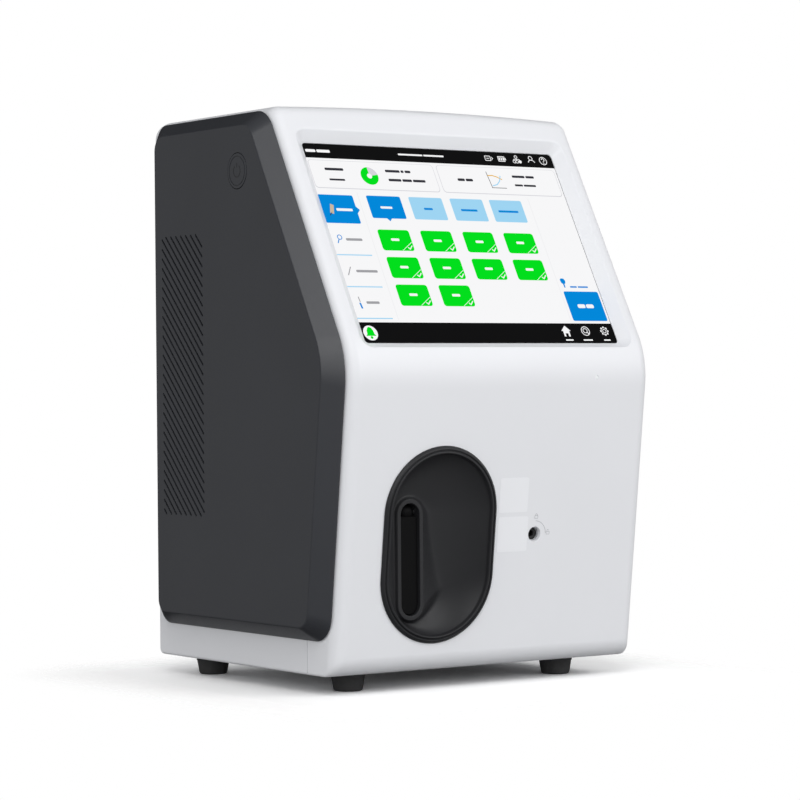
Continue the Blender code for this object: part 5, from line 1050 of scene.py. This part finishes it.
def ui_start():
    ui_add("blue", 1, box_mm(73.8, 33.3, 104.0, 56.9, 1.4))
    words("white", 2, 82.0, 96.0, 45.1, 3.0, 1, 1)
    words("blue", 1, 81.3, 97.0, 60.6, 1.2, 2, 3)
    hand = ((74.4, 66.4), (75.6, 67.4), (77.8, 67.2), (78.8, 65.6), (78.4, 63.6), (77.2, 62.8),
            (77.2, 60.0), (76.2, 60.0), (76.0, 63.0), (74.8, 63.8))
    ui_add("blue", 1, points_mm(*hand))


def ui_bottom_bar():
    ui_add("black", 1, box_mm(-PICTURE_HALF, PICTURE_FOOT, PICTURE_HALF, 31.3))
    bell = ((-102.4, 21.0), (-101.2, 22.3), (-100.9, 25.0), (-99.9, 27.0), (-98.4, 27.8),
            (-96.9, 27.0), (-95.9, 25.0), (-95.6, 22.3), (-94.4, 21.0))
    ui_add("green", 3, points_mm(*bell), dot_mm(-98.4, 19.8, 1.0))
    home = ((60.0, 25.3), (64.0, 29.4), (68.0, 25.3), (66.6, 25.3), (66.6, 20.9), (65.2, 20.9),
            (65.2, 23.4), (62.8, 23.4), (62.8, 20.9), (61.4, 20.9), (61.4, 25.3))
    ui_add("white", 2, dot_mm(-98.4, 23.2, 5.6), points_mm(*home), *ring_mm(80.9, 25.2, 3.4, 0.55),
           *ring_mm(80.7, 25.5, 1.7, 0.5), line_mm(0.7, (81.9, 24.2), (83.4, 22.8)),
           *ring_mm(97.6, 25.2, 1.4, 0.5), *ring_mm(97.6, 25.2, 2.7, 0.45))
    for tooth in range(8):
        turn = math.radians(45 * tooth)
        ends = [(97.6 + reach * math.cos(turn), 25.2 + reach * math.sin(turn)) for reach in (2.7, 3.6)]
        ui_add("white", 2, line_mm(1.1, *ends))
    for x0, x1 in ((61.3, 67.8), (76.6, 84.7), (94.6, 100.3)):
        words("white", 2, x0, x1, 18.1, 1.0)


def display():
    """The picture as thin fields of light behind the glass, one piece for each colour and level."""
    ui_add("white", 0, box_mm(-PICTURE_HALF, PICTURE_FOOT, PICTURE_HALF, PICTURE_TOP, 2.9))
    ui_top_bar()
    ui_cards()
    ui_left_column()
    ui_tiles()
    ui_start()
    ui_bottom_bar()
    materials = {name: lit("ui_" + name, colour) for name, colour in UI_COLOURS.items()}
    for (colour, level), outlines in UI.items():
        start = -GLASS_FRONT + 0.00002 + 0.00006 * level
        piece = decal("ui_%s_%d" % (colour, level), outlines, start, 0.00005, SCREEN_FACE)
        piece.data.materials.append(materials[colour])
        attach(piece, "housing")


# ---- CAD pieces that stay as they are ----

def dress(name, material, bevel):
    """New finish and softened edges for a CAD piece."""
    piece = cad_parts[name]
    custom = piece.data.attributes.get("custom_normal")
    if custom:
        piece.data.attributes.remove(custom)
    piece.modifiers.new("weld", 'WELD').merge_threshold = 0.00001
    if bevel:
        edge = piece.modifiers.new("soften", 'BEVEL')
        edge.width = bevel
        edge.segments = 2
        edge.limit_method = 'ANGLE'
        edge.angle_limit = math.radians(40)
        edge.harden_normals = False
    coat(piece, material, 35)


# Material, width of the softened edge and the CAD pieces that get them
DRESS = (
    (GLASS, 0.0, "touch_glass"),
    (BLACK, 0.0004, "lcd_module pump_head pump_motor fan_frame"),
    (BLACK, 0.0003, "lock_spindle door_catch power_inlet"),
    (BLACK, 0.0001, "fan_rotor"),
    (LEVER, 0.0005, "probe_lever"),
    (ZINC, 0.0002, "screen_frame base_plate bulkhead io_panel"),
    (ZINC, 0.0004, "power_supply"),
    (BOARD, 0.0001, "main_board switch_board"),
    (STEEL, 0.0, "probe_needle"),
    (STEEL, 0.0002, "probe_shaft lock_sleeve door_strike hinge_pin_upper hinge_pin_lower"),
    (STEEL, 0.0002, "hinge_bracket_upper hinge_bracket_lower"),
    (LAMP, 0.0001, "status_light_pipe"),
    (GREY, 0.0004, "bay_shelf bay_tray"),
    (GREY, 0.0003, "pump_rotor"),
    (PACK, 0.0, "reagent_pack"),
    (BLUE, 0.0004, "sensor_cassette"),
    (BLUE, 0.0, "battery_pack"),
    (ALUMINIUM, 0.0004, "cassette_holder"),
    (SILICONE, 0.0, "pump_tube"),
)


# ---- stage ----

def mixed(tree, factor, first, second):
    return node(tree, "ShaderNodeMixShader", {0: factor, 1: first, 2: second}).outputs["Shader"]


def vector_math(tree, operation, *values):
    return node(tree, "ShaderNodeVectorMath", dict(enumerate(values)), operation=operation).outputs


def floor():
    """Pale floor that fades into the white background round the analyzer, and is open from below."""
    shape = bmesh.new()
    bmesh.ops.create_circle(shape, cap_ends=True, segments=96, radius=2.0)
    piece = added("studio_floor", mesh_of(shape, "studio_floor"))
    made = bpy.data.materials.new("floor_white")
    made.use_nodes = True
    tree = made.node_tree
    tree.nodes.clear()
    seen, bounce, mirrored = [
        node(tree, "ShaderNodeBsdfDiffuse", {"Color": (white, white, white, 1)}).outputs["BSDF"]
        for white in (FLOOR_SEEN, FLOOR_BOUNCE, FLOOR_GLOSS)]
    rays = node(tree, "ShaderNodeLightPath").outputs
    unseen = mixed(tree, rays["Is Glossy Ray"], bounce, mirrored)
    pale = mixed(tree, rays["Is Camera Ray"], unseen, seen)
    spot = vector_math(tree, 'ABSOLUTE', spot_of(tree))["Vector"]
    beyond = vector_math(tree, 'SUBTRACT', spot, FLOOR_CORE)["Vector"]
    outside = vector_math(tree, 'MAXIMUM', beyond, (0.0, 0.0, 0.0))["Vector"]
    distance = vector_math(tree, 'LENGTH', outside)["Value"]
    fade = soft_step(tree, distance, 0.0, FLOOR_FADE, 1.0, 0.0)
    below = node(tree, "ShaderNodeNewGeometry").outputs["Backfacing"]
    cover = node(tree, "ShaderNodeMath", {0: fade, 1: below}, operation='SUBTRACT', use_clamp=True)
    clear = node(tree, "ShaderNodeBsdfTransparent").outputs["BSDF"]
    shown = mixed(tree, cover.outputs["Value"], clear, pale)
    node(tree, "ShaderNodeOutputMaterial", {"Surface": shown})
    piece.data.materials.append(made)


def softbox(name, share, size, direction, distance, in_gloss):
    light = bpy.data.lights.new(name, 'AREA')
    light.energy = share * (math.pi * distance) ** 2
    light.shape = 'SQUARE'
    light.size = size
    lamp = added(name, light)
    aim = Vector(direction).normalized()
    lamp.location = Vector(LIGHT_TARGET) + aim * distance
    lamp.rotation_euler = aim.to_track_quat('Z', 'Y').to_euler()
    lamp.visible_glossy = in_gloss


def studio():
    """White studio whose walls reflect: bright in front and at the sides, dark behind."""
    world = bpy.data.worlds.new("studio")
    bpy.context.scene.world = world
    world.use_nodes = True
    tree = world.node_tree
    tree.nodes.clear()
    direction = node(tree, "ShaderNodeTexCoord").outputs["Generated"]
    x, y, z = node(tree, "ShaderNodeSeparateXYZ", {"Vector": direction}).outputs
    left = soft_step(tree, x, -0.50, 0.05, WALL_LEFT, WALL_BACK)
    right = soft_step(tree, x, 0.65, 0.95, 0.0, WALL_RIGHT)
    sides = node(tree, "ShaderNodeMath", {0: left, 1: right}, operation='ADD')
    walls = node(tree, "ShaderNodeMix", {
        "Factor": soft_step(tree, y, -0.10, 0.45),
        "A": soft_step(tree, x, -0.60, 0.50, WALL_FRONT_LEFT, WALL_FRONT_RIGHT),
        "B": sides.outputs["Value"]}, data_type='FLOAT')
    sky = soft_step(tree, z, 0.2, 0.9, WORLD_LOW, WORLD_HIGH)
    ambient, reflected, seen = [
        node(tree, "ShaderNodeBackground", {"Color": (white, white, white, 1),
                                            "Strength": strength}).outputs["Background"]
        for white, strength in ((1, sky), (WALL_COLOUR, walls.outputs["Result"]), (1, 1.0))]
    rays = node(tree, "ShaderNodeLightPath").outputs
    unseen = mixed(tree, rays["Is Glossy Ray"], ambient, reflected)
    node(tree, "ShaderNodeOutputWorld", {"Surface": mixed(tree, rays["Is Camera Ray"], unseen, seen)})
    for name, settings in SOFTBOXES.items():
        softbox(name, *settings)
    bpy.context.scene.view_settings.view_transform = 'Standard'


def camera():
    data = bpy.data.cameras.new("camera")
    data.sensor_width = SENSOR
    data.lens = SENSOR * CAMERA_FOCUS
    data.shift_x, data.shift_y = CAMERA_SHIFT
    data.clip_start = 0.05
    data.clip_end = 50.0
    piece = added("camera", data)
    piece.matrix_world = (Matrix.Translation(CAMERA_PLACE) @ Matrix.Rotation(-CAMERA_YAW, 4, 'Z')
                          @ Matrix.Rotation(math.pi / 2 - CAMERA_PITCH, 4, 'X')
                          @ Matrix.Rotation(CAMERA_ROLL, 4, 'Z'))
    bpy.context.scene.camera = piece


camera()
studio()
floor()
front_cover()
rear_housing()
left_cover()
right_door()
port_bezel()
power_button()
for side in ("front_left", "front_right", "rear_left", "rear_right"):
    foot("rubber_foot_" + side, "foot_" + side)
front_prints()
display()
for material, bevel, names in DRESS:
    for name in names.split():
        dress(name, material, bevel)
